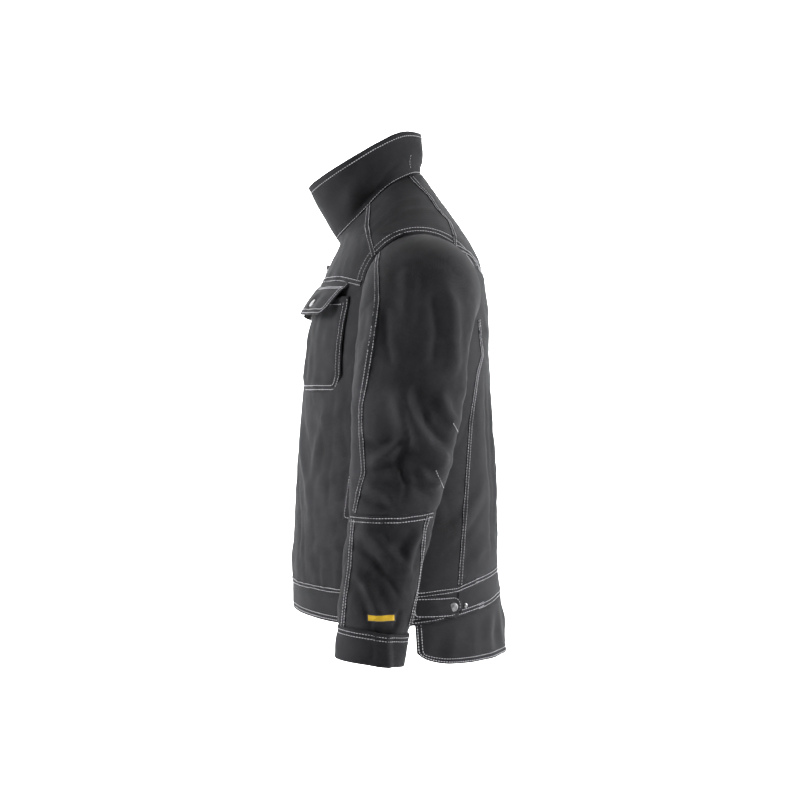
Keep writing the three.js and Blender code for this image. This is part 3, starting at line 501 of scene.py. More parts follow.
def merge(parts):
    """Joins (vertices, faces) pairs."""
    vertices, faces, start = [], [], 0
    for v, f in parts:
        vertices.append(v)
        faces.extend([[int(i) + start for i in face] for face in f])
        start += len(v)
    return np.concatenate(vertices), faces


# ---- Lines drawn on a surface ----------------------------------------------------------
def cast(tree, at, view, sign=1):
    """Where a view's line of sight meets a surface, and the surface's normal there."""
    start, way = {
        "side": ((400 * sign, *at), (-sign, 0, 0)),
        "front": ((at[0], -500, at[1]), (0, 1, 0)),
        "back": ((at[0], 500, at[1]), (0, -1, 0)),
    }[view]
    return tree.ray_cast(Vector(start), Vector(way))[:2]


def trace(tree, path, view="side", sign=1, step=1.5):
    """Projects a side view's (depth, height) path, or a front view's (width, height) one."""
    path = np.array(path, float)
    points, normals = [], []
    for a, b in zip(path[:-1], path[1:]):
        count = max(2, int(np.hypot(*(b - a)) / step) + 1)
        for t in np.linspace(0, 1, count, endpoint=False):
            place, normal = cast(tree, a + (b - a) * t, view, sign)
            if place is not None:
                points.append(place)
                normals.append(normal)
    return np.array(points).reshape(-1, 3), np.array(normals).reshape(-1, 3)


def resample(points, step):
    if len(points) < 3:
        return points
    run = lengths(points)
    soft = points.copy()
    for _ in range(2):
        soft[1:-1] = (soft[:-2] + 2 * soft[1:-1] + soft[2:]) / 4
    count = max(2, int(round(run[-1] / step)) + 1)
    at = np.linspace(0, run[-1], count)
    return np.stack([np.interp(at, run, soft[:, k]) for k in range(3)], -1)


def settle(tree, points):
    """The nearest points of a surface, and its normals there."""
    places, normals = [], []
    for p in points:
        place, normal, _, _ = tree.find_nearest(Vector(p))
        places.append(place)
        normals.append(normal)
    return np.array(places).reshape(-1, 3), np.array(normals).reshape(-1, 3)


def offset_line(tree, points, aside):
    """A line beside another one on the same surface."""
    places, normals = settle(tree, points)
    along = np.gradient(places, axis=0)
    lateral = unit(np.cross(along, normals))
    return settle(tree, places + lateral * aside)


def stitches(points, normals, length=3.0, gap=1.2, width=0.62, height=0.5):
    """A row of thread stitches along a line."""
    line = resample(points, length + gap)
    if len(line) < 2:
        return None
    run = lengths(points)
    at = np.linspace(0, run[-1], len(line))
    up = unit(np.stack([np.interp(at, run, normals[:, k]) for k in range(3)], -1)[:-1])
    a, b = line[:-1], line[:-1] + (line[1:] - line[:-1]) * (length / (length + gap))
    along = b - a
    lateral = unit(np.cross(along, up))
    vertices = []
    for t, w, h in ((0, 0.25, 0.0), (0.2, 1, 0.75), (0.8, 1, 0.75), (1, 0.25, 0.0)):
        p = a + along * t
        vertices += [p + lateral * width * w - up * 0.25, p + up * height * (0.2 + h),
                     p - lateral * width * w - up * 0.25]
    vertices = np.stack(vertices, 1).reshape(-1, 3)
    sides = np.array([[0, 1, 4, 3], [1, 2, 5, 4], [2, 0, 3, 5]])
    faces = []
    for i in range(len(a)):
        base = 12 * i
        for k in (0, 3, 6):
            faces += (sides + base + k).tolist()
        faces += [[base + 2, base + 1, base], [base + 9, base + 10, base + 11]]
    return vertices, faces


def felled(points, normals, height, width=9.5):
    """A sewn-down strip of folded cloth along a line."""
    along = np.gradient(points, axis=0)
    lateral = unit(np.cross(along, normals))
    profile = [(-0.5, -0.8), (-0.47, 0.75), (-0.38, 1.0), (0.0, 0.8), (0.38, 1.0), (0.47, 0.55),
               (0.5, -0.8)]
    step = np.arange(len(points))[:, None]
    wobble = 1 + 0.25 * np.sin(step * 0.9 + 1.7 * np.sin(step * 0.23))
    columns = [points + lateral * width * w + normals * (height * h * (wobble if h > 0 else 1))
               for w, h in profile]
    vertices = np.stack(columns, 1).reshape(-1, 3)
    n = len(profile)
    faces = []
    for i in range(len(points) - 1):
        for k in range(n):
            m = (k + 1) % n
            faces.append([i * n + k, (i + 1) * n + k, (i + 1) * n + m, i * n + m])
    faces.append(list(range(n)))
    faces.append(list(range((len(points) - 1) * n, len(points) * n))[::-1])
    return vertices, faces


class Sewing:
    """Collects the seams and stitches of one piece of cloth."""

    def __init__(self, tree):
        self.tree = tree
        self.strips = []
        self.threads = []

    def line(self, path, view="side", sign=1):
        points, _ = trace(self.tree, path, view, sign)
        return resample(points, 2.5) if len(points) > 2 else None

    def seam(self, path, view="side", sign=1, rows=(-3, 3), height=0.9, strip=True):
        line = self.line(path, view, sign)
        if line is None:
            return
        if strip:
            places, normals = settle(self.tree, line)
            self.strips.append(felled(places, normals, height))
        for aside in rows:
            self.row(line, aside, 1.15 * height + 0.1 if strip else 0.2)

    def row(self, line, aside=0.0, lift=0.25):
        places, normals = offset_line(self.tree, line, aside)
        made = stitches(places + normals * lift, normals)
        if made:
            self.threads.append(made)

    def build(self, name, place):
        for kind, parts, look in (("seams", self.strips, canvas), ("thread", self.threads, thread)):
            if parts:
                dress(shaded(f"{name}_{kind}", *merge(parts), look), place, "canvas")


# ---- Materials -------------------------------------------------------------------------
def node_material(name):
    material = bpy.data.materials.new(name)
    material.use_nodes = True
    nodes, links = material.node_tree.nodes, material.node_tree.links
    return material, nodes, links, nodes["Principled BSDF"]


def set_inputs(node, **values):
    for name, value in values.items():
        node.inputs[name.replace("_", " ")].default_value = value


def noise(nodes, links, coords, scale, detail, rough):
    node = nodes.new("ShaderNodeTexNoise")
    set_inputs(node, Scale=scale, Detail=detail, Roughness=rough)
    links.new(coords, node.inputs["Vector"])
    return node.outputs["Fac"]


def ramp(nodes, links, value, stops):
    node = nodes.new("ShaderNodeValToRGB")
    elements = node.color_ramp.elements
    for element, (at, color) in zip(elements, (stops[0], stops[-1])):
        element.position, element.color = at, (*color, 1)
    for at, color in stops[1:-1]:
        elements.new(at).color = (*color, 1)
    links.new(value, node.inputs["Fac"])
    return node.outputs["Color"]


def add_share(nodes, links, value, share, other):
    """A share of one value, added to another."""
    node = nodes.new("ShaderNodeMath")
    node.operation = "MULTIPLY_ADD"
    links.new(value, node.inputs[0])
    node.inputs[1].default_value = share
    links.new(other, node.inputs[2])
    return node.outputs["Value"]


def vary_roughness(nodes, links, shader, value, low, high):
    node = nodes.new("ShaderNodeMapRange")
    set_inputs(node, To_Min=low, To_Max=high)
    links.new(value, node.inputs["Value"])
    links.new(node.outputs["Result"], shader.inputs["Roughness"])


def add_bump(nodes, links, shader, height, strength, distance):
    node = nodes.new("ShaderNodeBump")
    set_inputs(node, Strength=strength, Distance=distance)
    links.new(height, node.inputs["Height"])
    links.new(node.outputs["Normal"], shader.inputs["Normal"])


def woven(name, dark, light, pitch, depth, sheen, roughness, diagonal):
    """Cloth with a twill or plain weave that follows the mesh's own position."""
    material, nodes, links, shader = node_material(name)
    coords = nodes.new("ShaderNodeTexCoord").outputs["Object"]
    waves = []
    for axis in ("DIAGONAL" if diagonal else "X", "Z"):
        wave = nodes.new("ShaderNodeTexWave")
        wave.wave_type = "BANDS"
        wave.bands_direction = axis
        set_inputs(wave, Scale=0.31 / pitch, Distortion=0.6, Detail=1, Detail_Scale=2)
        links.new(coords, wave.inputs["Vector"])
        waves.append(wave.outputs["Fac"])
    weave = add_share(nodes, links, waves[0], 0.7, waves[1])
    slub = noise(nodes, links, coords, 420, 2, 0.6)
    cloudy = noise(nodes, links, coords, 9, 5, 0.6)
    tone = add_share(nodes, links, weave, 0.12, add_share(nodes, links, slub, 0.35, cloudy))
    middle = tuple((a + b) / 2 for a, b in zip(dark, light))
    color = ramp(nodes, links, tone, [(0.5, dark), (0.72, middle), (0.98, light)])
    links.new(color, shader.inputs["Base Color"])
    vary_roughness(nodes, links, shader, cloudy, roughness - 0.08, roughness + 0.08)
    set_inputs(shader, Sheen_Weight=sheen, Sheen_Roughness=0.45, Specular_IOR_Level=0.085)
    add_bump(nodes, links, shader, add_share(nodes, links, slub, 0.6, weave), depth, 0.0006)
    return material


def metal(name, color, roughness):
    material, nodes, links, shader = node_material(name)
    coords = nodes.new("ShaderNodeTexCoord").outputs["Object"]
    wear = noise(nodes, links, coords, 380, 3, 0.6)
    dull = tuple(c * 0.75 for c in color)
    links.new(ramp(nodes, links, wear, [(0.35, dull), (0.65, color)]), shader.inputs["Base Color"])
    vary_roughness(nodes, links, shader, wear, roughness - 0.08, roughness + 0.12)
    set_inputs(shader, Metallic=1.0)
    add_bump(nodes, links, shader, wear, 0.15, 0.0002)
    return material


def plain(name, color, roughness):
    material, _, _, shader = node_material(name)
    set_inputs(shader, Base_Color=(*color, 1), Roughness=roughness)
    return material


# Each cloth: its dark and light tones, weave pitch in metres, bump, sheen, roughness, and
# whether it is a twill.
canvas = woven("canvas", (0.0032, 0.0032, 0.0037), (0.0135, 0.0135, 0.0155), 0.0011, 0.22, 0.01, 0.82, True)
lining = woven("lining", (0.007, 0.0072, 0.0082), (0.02, 0.0205, 0.023), 0.0009, 0.2, 0.02, 0.7, False)
tape = woven("zip_tape", (0.01, 0.01, 0.011), (0.02, 0.02, 0.022), 0.0012, 0.4, 0.02, 0.8, False)
thread = woven("thread", (0.24, 0.24, 0.25), (0.42, 0.42, 0.44), 0.0006, 0.5, 0.05, 0.7, True)
patch_yellow = woven("patch", (0.2, 0.125, 0.004), (0.34, 0.22, 0.01), 0.0008, 0.4, 0.1, 0.7, False)
label_grey = woven("label", (0.22, 0.22, 0.23), (0.36, 0.36, 0.38), 0.0007, 0.3, 0.1, 0.7, False)
snap_metal = metal("snap_metal", (0.2, 0.2, 0.205), 0.3)
zip_metal = metal("zip_metal", (0.09, 0.09, 0.094), 0.5)


def torso(piece):
    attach(piece, "torso")


# ---- The body --------------------------------------------------------------------------
BODY_COLUMNS = 300
FRONT_GAP = 8.7


def body_rows():
    hem = np.array([0.0, 0.0008, 0.002, 0.0035])
    return np.concatenate([hem, np.linspace(0.008, 1, 128), 1 + np.linspace(0, 1, 40)[1:]])


def front_edge(v):
    """Where the front opening's edge is, as an angle."""
    reach = np.interp(v, [0, 1, 2], [220, 222, 74])
    return np.arcsin(FRONT_GAP / reach)


def body_points(u, v):
    start = front_edge(v)
    angle = start + u * (2 * np.pi - 2 * start)
    base = body_base(angle, v)
    step = 0.003
    along = body_base(angle + step, v) - body_base(angle - step, v)
    up = body_base(angle, v + step) - body_base(angle, v - step)
    up = np.where((v > 1.99)[..., None], body_base(angle, v) - body_base(angle, v - 2 * step), up)
    normal = unit(np.cross(along, up))
    return base + normal * body_relief(base, normal)[..., None]


def fit_armholes(points):
    """Moves the points just inside each armhole to its edge, and drops the rest of them."""
    y, z = points[..., 1] - ARMHOLE["y"], points[..., 2] - ARMHOLE["z"]
    distance = np.hypot(y, z)
    at_side = (np.abs(points[..., 0]) > 100) & (points[..., 2] < SHOULDER_Z + 4)
    inside = (distance < ARMHOLE["radius"]) & at_side
    outside = ~inside
    near = np.zeros_like(inside)
    for dr in (-1, 0, 1):
        for dc in (-1, 0, 1):
            near |= np.roll(np.roll(outside, dr, 0), dc, 1)
    rim = inside & near
    scale = ARMHOLE["radius"] / np.maximum(distance, 1)
    moved = points.copy()
    moved[..., 1] = np.where(rim, ARMHOLE["y"] + y * scale, points[..., 1])
    moved[..., 2] = np.where(rim, np.minimum(ARMHOLE["z"] + z * scale, SHOULDER_Z - 0.1), points[..., 2])
    x = body_side_x(moved[..., 1], moved[..., 2]) * np.sign(points[..., 0])
    moved[..., 0] = np.where(rim, x, points[..., 0])
    return moved, outside | rim


def build_body():
    u, v = np.meshgrid(np.linspace(0, 1, BODY_COLUMNS), body_rows())
    points = body_points(u, v)
    normals = grid_normals(points, False)
    points, keep = fit_armholes(points)
    shell, tree = cloth("torso_cloth", points, canvas, 3.2, normals=normals, keep=keep)
    nodes = ["back_yoke", "back_panel", "waistband_back"]
    for side in SIDES:
        nodes += [f"{n}_{side}" for n in
                  ("front_yoke", "shoulder", "front_panel", "back_side", "waistband_front")]
    dress(shell, torso, "canvas", *nodes)
    return tree


body_tree = build_body()


def flipped(path, sign):
    return [(x * sign, z) for x, z in path]


def sew_body():
    sewing = Sewing(body_tree)
    hem = [(y, hem_line(y) + 6) for y in (-148, -124, -60, -15, 20, 43, 60, 84, 96)]
    band = [(-148, -623.5)] + FRONT_BAND_SEAM[2:] + BACK_BAND_SEAM[1:-1] + [(93, -609.5)]
    front_band = [(9, -621.5), (70, -621.5), (130, -622.5), (157, -623.5)]
    front_hem = [(12, -658), (70, -658.5), (157, -663)]
    front_yoke = [(14, -165), (90, -166), (148, -168)]
    for sign in (1, -1):
        for path in (FRONT_SHOULDER_SEAM, BACK_SHOULDER_SEAM, BACK_YOKE_SEAM, BACK_SIDE_SEAM,
                     FRONT_YOKE_SEAM):
            sewing.seam(path, "side", sign)
        sewing.seam(band, "side", sign, height=1.1)
        sewing.seam(hem, "side", sign, rows=(-2.5, 2.5), strip=False)
        sewing.seam(flipped(front_band, sign), "front", height=1.1)
        sewing.seam(flipped(front_hem, sign), "front", rows=(-2.5, 2.5), strip=False)
        for inset in (3.5, 9.5):
            opening = flipped([(FRONT_GAP + inset, z) for z in (-655, -400, -135)], sign)
            sewing.seam(opening, "front", rows=(0,), strip=False)
        sewing.seam(flipped(front_yoke, sign), "front")
        for radius in (90, 95.5):
            armhole = [(ARMHOLE["y"] + radius * np.sin(t), ARMHOLE["z"] + radius * np.cos(t))
                       for t in np.linspace(-1.45, 1.15, 60)]
            sewing.seam(armhole, "side", sign, rows=(0,), strip=False)
    for height, path in (
        (0.9, [(105, -146), (60, -158), (0, -161)]),
        (1.1, [(160, -612.5), (120, -608), (86, -605), (0, -603)]),
    ):
        sewing.seam(flipped(path[:-1], -1) + path[::-1], "back", height=height)
    hem = [(-160, -651), (-86, -641), (0, -638), (86, -641), (160, -651)]
    sewing.seam(hem, "back", rows=(-2.5, 2.5), strip=False)
    sewing.build("torso", torso)


sew_body()


def on_shoulder():
    return lambda piece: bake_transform(piece)


def on_forearm():
    return lambda piece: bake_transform(piece)


def elbow_station(angle):
    return 1 + (UNDERARM_Z - ELBOW_Z) / 100 - 0.05 * np.clip(np.sin(angle), 0, 1)


def sleeve_points(u, station, seed):
    angle = -2 * np.pi * u
    base = sleeve_base(angle, station)
    normal = grid_normals(base, True)
    relief = sleeve_relief(base, angle, station, seed)
    return base + normal * relief[..., None]


SLEEVE_COLUMNS = 132


def build_sleeve(side):
    sign = SIDES[side]
    u = np.arange(SLEEVE_COLUMNS) / SLEEVE_COLUMNS
    elbow = elbow_station(-2 * np.pi * u)
    top = np.concatenate([np.linspace(-1, 0, 15)[:-1], np.linspace(0, 1, 56)[:-1]])
    upper = np.concatenate([np.repeat(top[:, None], SLEEVE_COLUMNS, 1),
                            1 + (elbow - 1)[None] * np.linspace(0, 1, 62)[:, None]])
    lower_end = 1 + (UNDERARM_Z - CUFF_Z + 3) / 100
    lower = elbow[None] + (lower_end - elbow)[None] * np.linspace(0, 1, 50)[:, None]
    whole = np.concatenate([upper, lower[1:]])
    points = sleeve_points(np.repeat(u[None], len(whole), 0), whole, 50 if sign > 0 else 90)
    normals = grid_normals(points, True)
    for part in (points, normals):
        part[..., 0] *= sign
    if sign < 0:
        points, normals = points[:, ::-1], normals[:, ::-1]
    split = len(upper)
    pieces = []
    for name, rows, place, node in (
        ("sleeve_upper", slice(0, split), on_shoulder(), "upper_sleeve"),
        ("sleeve_lower", slice(split - 1, None), on_forearm(), "forearm_sleeve"),
    ):
        piece, tree = cloth(f"{name}_{side}", points[rows], canvas, 2.6, True, normals[rows], rounded=False)
        dress(piece, place, "canvas", f"{node}_{side}")
        pieces.append((tree, place))
    return pieces


def sew_sleeve(side, pieces):
    sign = SIDES[side]
    (upper, on_upper), (lower, on_lower) = pieces
    sewing = Sewing(upper)
    sewing.seam([(-60, -138)] + [p for p in SLEEVE_SEAM if p[1] > -506], "side", sign)
    sewing.seam([p for p in SLEEVE_SEAM if -506 < p[1] < -310], "side", sign, rows=(-1.2, 1.2), strip=False)
    for dart in ([(44, -379), (52, -393)], [(20, -444), (32, -471)]):
        sewing.seam(dart, "side", sign, rows=(0,), strip=False)
    sewing.build(f"sleeve_upper_{side}", on_upper)
    sewing = Sewing(lower)
    sewing.seam([(-94, -512)] + [p for p in SLEEVE_SEAM if p[1] < -515], "side", sign)
    sewing.seam(SLEEVE_BACK_SEAM, "side", sign)
    sewing.seam([(-98, -512), (-60, -512.5), (-30, -512), (0, -509), (17, -505.5)], "side", sign)
    sewing.build(f"sleeve_lower_{side}", on_lower)


sleeve_trees = {}
for side_name in SIDES:
    halves = build_sleeve(side_name)
    sew_sleeve(side_name, halves)
    sleeve_trees[side_name] = halves[1][0]


# ---- Cuffs -----------------------------------------------------------------------------
def build_cuff(side):
    sign = SIDES[side]
    columns = 110
    u = np.arange(columns) / columns
    levels = np.concatenate([[0, 0.01, 0.03], np.linspace(0.07, 0.93, 20), [0.97, 0.99, 1]])
    stations = 1 + (UNDERARM_Z - CUFF_Z - 2 + levels * 47) / 100
    angle, station = np.meshgrid(-2 * np.pi * u, stations)
    base = sleeve_base(angle, station)
    normal = grid_normals(base, True)
    y = base[..., 1]
    overlap = 2.2 * np.exp(-((np.clip(y + 64, 0, 40) / 16) ** 2))
    overlap = overlap * smooth(y, -66, -63) * smooth(np.cos(angle), 0, 0.3)
    relief = 1.6 + 0.7 * ripples(angle * 50, base[..., 2], 7, 36, 2) + overlap
    relief = relief - 1.0 * np.exp(-(((levels[:, None] - 0.18) / 0.1) ** 2))
    outer = smooth(np.cos(angle), -0.2, 0.4)
    bend = np.clip(y + 45, -60, 40)
    hollow = 3.0 * np.exp(-np.clip(bend - 6, 0, 60) / 14) * smooth(bend, 0, 8)
    relief = relief + outer * (4.0 * np.exp(-np.abs(bend + 3) / 9) - hollow)
    points = base + normal * relief[..., None]
    points[..., 0] *= sign
    if sign < 0:
        points = points[:, ::-1]
    piece, tree = cloth(f"cuff_band_{side}", points, canvas, 5.2, True)

    def place(thing):
        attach(thing, f"forearm_{side}")

    dress(piece, place, "canvas", f"cuff_{side}")
    sewing = Sewing(tree)
    row = points[int(np.argmin(np.abs(levels - 0.14)))]
    line = resample(np.concatenate([row, row[:1]]), 2.5)
    for aside in (-2.8, 2.8):
        sewing.row(line, aside)
    sewing.build(f"cuff_{side}", place)


for side_name in SIDES:
    build_cuff(side_name)


# ---- Collar, lining, tail --------------------------------------------------------------
def collar_points(angle, rise):
    base = neck_seam(angle) * (1 - rise[..., None]) + collar_rim(angle) * rise[..., None]
    normal = grid_normals(base, False)
    waves = 0.8 * ripples(angle * 78, rise * 60, 31, 45, 1.4) * smooth(rise, 0, 0.3)
    bulge = 2.0 * np.sin(np.pi * np.clip(rise, 0, 1)) + waves
    back = smooth(-np.cos(angle), 0.2, 1)
    dent = -1.6 * np.exp(-(((rise - 0.45) / 0.2) ** 2)) * (1 - back)
    y, z = base[..., 1], base[..., 2]
    side = smooth(np.abs(base[..., 0]), 30, 60) * smooth(rise, 0, 0.12) * smooth(1 - rise, 0, 0.2)
    dent = dent + side * (crease(y, z, [(-104, -74), (-74, -38), (-44, 2), (-25, 15)], 8, 5.5, 0.15)
                          + fold(y, z, [(-118, -60), (-92, -22), (-58, 14)], 14, 4.5)
                          + crease(y, z, [(-60, -28), (-42, -6), (-22, 6)], 6, 3))
    dent = dent + 2.6 * back * (smooth(z, 12, 22) - 0.5)
    return base, normal, bulge + dent


def build_collar():
    first = np.arcsin(4 / 74)
    columns = 170
    rises = np.concatenate([[-0.03, 0.0, 0.02], np.linspace(0.05, 0.96, 26), [0.985, 0.993, 0.998, 1]])
    angle, rise = np.meshgrid(np.linspace(first, 2 * np.pi - first, columns), rises)
    base, normal, relief = collar_points(angle, rise)
    shell, tree = cloth("collar_cloth", base + normal * relief[..., None], canvas, 4.4)
    dress(shell, torso, "canvas", "collar_shell")
    facing, _ = cloth("collar_lining", base + normal * (relief - 4.6)[..., None], lining, 3.6)
    dress(facing, torso, "lining", "collar_facing")
    sewing = Sewing(tree)
    points = base + normal * relief[..., None]
    for level in (2, 26):
        sewing.row(resample(points[level], 2.5))
    for sign in (1, -1):
        sewing.seam([(-13, 26), (-15, 15), (-13, 4)], "side", sign, rows=(0,), strip=False)
    sewing.build("collar", torso)


def build_lining():
    rows = np.concatenate([np.linspace(0.085, 1, 80), np.linspace(1.02, 1.99, 20)])
    u, v = np.meshgrid(np.linspace(0, 1, 150), rows)
    start = 0.12
    angle = start + u * (2 * np.pi - 2 * start)
    base = body_base(angle, v)
    normal = grid_normals(base, False)
    arc = angle * 190
    cell = 42.0
    a, b = (arc + base[..., 2]) / cell, (arc - base[..., 2]) / cell
    puff = np.minimum(np.abs(np.sin(np.pi * a)), np.abs(np.sin(np.pi * b)))
    relief = -9.6 - 1.8 * (1 - np.sqrt(puff))
    points = base + normal * relief[..., None]
    points, keep = fit_armholes(points)
    piece, _ = cloth("quilted_lining", points, lining, 2.2, normals=normal, keep=keep)
    dress(piece, torso, "lining", "body_lining")


def tail_points():
    edge = curve([(-12, -700), (-8, -709), (4, -719), (22, -725), (40, -728), (60, -729), (140, -729)])
    front, back = front_line(-690), back_line(-690)
    start = np.arccos(np.clip((front + back + 22) / (back - front), -1, 1))
    angle = np.linspace(start, 2 * np.pi - start, 220)
    top = hem_z(angle) + 5
    y = body_section(angle, np.full_like(angle, -690.0))[..., 1]
    bottom = edge(y)
    t = np.concatenate([np.linspace(0, 0.94, 22), [0.97, 0.985, 0.995, 1]])[:, None]
    z = top[None] * (1 - t) + bottom[None] * t
    a = np.repeat(angle[None], len(t), 0)[::-1]
    z = z[::-1]
    base = body_section(a, z)
    normal = grid_normals(base, False)
    tuck = -3.4 * smooth(z - (top[None] - 9), 0, 7)
    flat = a * 170
    relief = tuck - 0.6 + 1.6 * ripples(flat, z, 71, 70, 0.8) * smooth(top[None] - z, 0, 40)
    return base + normal * relief[..., None]


def build_tail():
    points = tail_points()
    piece, tree = cloth("tail_cloth", points, canvas, 4.0)
    dress(piece, torso, "canvas", "back_tail")
    sewing = Sewing(tree)
    for inset in (3.5, 9.5):
        sewing.row(outline(points, inset))
    sewing.build("tail", torso)


# ---- Patches of cloth laid on a surface -------------------------------------------------
def laid_grid(tree, corners, view, sign, columns, rows):
    """A grid of surface points under an outline, given by its top and its bottom two corners."""
    (a, b), (c, d) = np.array(corners, float)
    mirror = np.array([sign if view == "front" else 1, 1])
    points = np.zeros((rows, columns, 3))
    for i, t in enumerate(np.linspace(1, 0, rows)):
        for j, s in enumerate(np.linspace(0, 1, columns)):
            p = (a * (1 - s) + b * s) * (1 - t) + (c * (1 - s) + d * s) * t
            place, _ = cast(tree, p * mirror, view, sign)
            points[i, j] = place if place is not None else points[max(i - 1, 0), j]
    return points


def outward(points, sign, view):
    """Turns the grid so that its normals face out of the body."""
    normal = grid_normals(points, False)
    middle = normal[normal.shape[0] // 2, normal.shape[1] // 2]
    facing = middle[0] * sign if view == "side" else -middle[1]
    return points if facing > 0 else points[:, ::-1]


def edge_lines(points, inset):
    """A line inside the outline of a grid, as the points of each of its four sides."""
    rows, columns = points.shape[:2]
    down, wide = lengths(points[:, columns // 2]), lengths(points[rows // 2])
    s, t = inset / wide[-1], inset / down[-1]

    def at(r, c):
        r = np.interp(r * down[-1], down, np.arange(rows))
        c = np.interp(c * wide[-1], wide, np.arange(columns))
        i, j = min(int(r), rows - 2), min(int(c), columns - 2)
        fr, fc = r - i, c - j
        top = points[i, j] * (1 - fc) + points[i, j + 1] * fc
        low = points[i + 1, j] * (1 - fc) + points[i + 1, j + 1] * fc
        return top * (1 - fr) + low * fr

    steps = np.linspace(0, 1, 120)
    return {
        "low": np.array([at(t, s + (1 - 2 * s) * k) for k in steps]),
        "top": np.array([at(1 - t, s + (1 - 2 * s) * k) for k in steps]),
        "near": np.array([at(t + (1 - 2 * t) * k, s) for k in steps]),
        "far": np.array([at(t + (1 - 2 * t) * k, 1 - s) for k in steps]),
    }


def outline(points, inset, closed=False):
    """One stitch line down one side, along the low edge and up the other, or all the way round."""
    lines = edge_lines(points, inset)
    parts = [lines["near"][::-1], lines["low"], lines["far"]] + ([lines["top"][::-1]] if closed else [])
    return resample(np.concatenate(parts), 2.5)


def smooth_grid(points, times):
    for _ in range(times):
        inner = (points[:-2, 1:-1] + points[2:, 1:-1] + points[1:-1, :-2] + points[1:-1, 2:]) / 4
        points[1:-1, 1:-1] = inner
    return points


def laid(tree, corners, view, sign, columns, rows, times):
    """A smoothed grid on a surface, facing out of the body."""
    points = smooth_grid(laid_grid(tree, corners, view, sign, columns, rows), times)
    return outward(points, sign, view)


# ---- Pockets and flaps -----------------------------------------------------------------
def build_pocket(side):
    sign = SIDES[side]
    corners = [[(50, -196), (184, -196)], [(50, -335), (187, -335)]]
    points = laid(body_tree, corners, "front", sign, 44, 50, 30)
    normal = grid_normals(points, False)
    rows, columns = points.shape[:2]
    down = 1 - np.linspace(0, 1, rows)[:, None]
    across = np.linspace(0, 1, columns)[None]
    width, height = 134, 139
    wide, tall = across * width, down * height
    near_edge = np.minimum(np.minimum(wide, width - wide), height - tall)
    puff = 3.2 + 3.6 * smooth(near_edge, 0, 12) * (1 - 0.25 * down) + 0.6 * ripples(wide, tall, 5, 40)
    puff = puff + 1.2 * (1 - down) * np.sin(np.pi * across)
    # The two lower corners are cut off.
    cut = 17 * np.clip((down - 0.84) / 0.16, 0, 1)
    shift = np.where(across < 0.5, 1, -1) * cut * np.abs(across - 0.5) * 2
    along = unit(points[:, -1:] - points[:, :1])
    points = points + normal * puff[..., None] + along * shift[..., None]
    piece, tree = cloth(f"pocket_{side}", points, canvas, 2.6)
    dress(piece, torso, "canvas", f"chest_pocket_{side}")
    sewing = Sewing(tree)
    for inset in (3, 9):
        sewing.row(outline(points, inset))
    sewing.row(edge_lines(points, 12)["top"])
    sewing.build(f"pocket_{side}", torso)
    return tree


def flap_frame():
    """The flap's sewn edge as the CAD has it, 1 mm off the body along its normal, and how far across the
    edge each point is.
    """
    across = np.linspace(0, 1, 50)
    x = 45 + 133 * across
    z = -175 - 6 * across
    angle = np.arcsin(x / half_width(z))
    edge = body_section(angle, z)
    step = 0.01
    along = body_section(angle + step, z) - body_section(angle - step, z)
    up = body_section(angle, z + 1) - body_section(angle, z - 1)
    return edge + unit(np.cross(along, up)), across


def build_flap(side):
    sign = SIDES[side]
    edge, across = flap_frame()
    down = np.concatenate([np.linspace(-0.12, 0.9, 22), [0.94, 0.965, 0.985, 1.0]])[::-1]
    lift = 31 + 7 * across
    fall = np.stack([-3 + 0 * across, -lift, -43 + 0 * across], -1)
    out = unit(np.cross(edge[-1] - edge[0], fall[25]))
    out = out if out[1] < 0 else -out
    t = down[:, None, None]
    corner = 0.05 * smooth(down, 0.8, 1)[:, None]
    s = (across[None] - 0.5) * (1 - 2 * corner) + 0.5
    source = np.stack([np.interp(s, across, edge[:, k]) for k in range(3)], -1)
    points = source + fall[None] * np.maximum(t, 0)
    points = points + np.minimum(t, 0) * np.array([0, 4, -60.0])
    waves = 0.8 * ripples(s * 133, down[:, None] * 50, 3, 44)
    curl = 3.2 * np.sin(np.pi * np.clip(t, 0, 1)) * 0.6 + waves[..., None]
    from_snap = ((s - 0.5) * 133 / 13) ** 2 + ((down[:, None] - 0.62) * 52 / 13) ** 2
    dent = -2.2 * np.exp(-from_snap)[..., None]
    points = points + out * (3.0 + curl + dent) * smooth(t, -0.12, 0.12)
    points[..., 0] *= sign
    if sign < 0:
        points = points[:, ::-1]
    piece, tree = cloth(f"flap_{side}", points, canvas, 3.0)

    def place(thing):
        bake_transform(thing)

    dress(piece, place, "canvas", f"chest_flap_{side}")
    sewing = Sewing(tree)
    for inset in (3, 9):
        sewing.row(outline(points, inset))
        rows = int(np.argmin(np.abs(down - (0.02 + inset * 0.012))))
        sewing.row(resample(points[rows], 2.5))
    sewing.build(f"flap_{side}", place)
    return tree


# ---- Snaps -----------------------------------------------------------------------------
def lathe(name, profile, place, direction, material, segments=28):
    """A turned piece, from (radius, height) pairs, standing on a place along a direction."""
    a = unit(np.cross(direction, [0, 0, 1.0]))
    b = np.cross(direction, a)
    t = np.linspace(0, 2 * np.pi, segments, endpoint=False)
    circle = np.cos(t)[:, None] * a + np.sin(t)[:, None] * b
    ends = [[place + direction * h] for _, h in (profile[0], profile[-1])]
    vertices = np.concatenate([place + circle * r + direction * h for r, h in profile] + ends)
    count = len(profile)
    index = np.arange(segments)
    after = np.roll(index, -1)
    faces = []
    for k in range(count - 1):
        low, high = k * segments, (k + 1) * segments
        faces += np.stack([index + low, index + high, after + high, after + low], -1).tolist()
    first, last = count * segments, count * segments + 1
    faces += [[first, int(i), int(j)] for i, j in zip(index, after)]
    faces += [[last, int(j) + first - segments, int(i) + first - segments] for i, j in zip(index, after)]
    return shaded(name, vertices, faces, material)


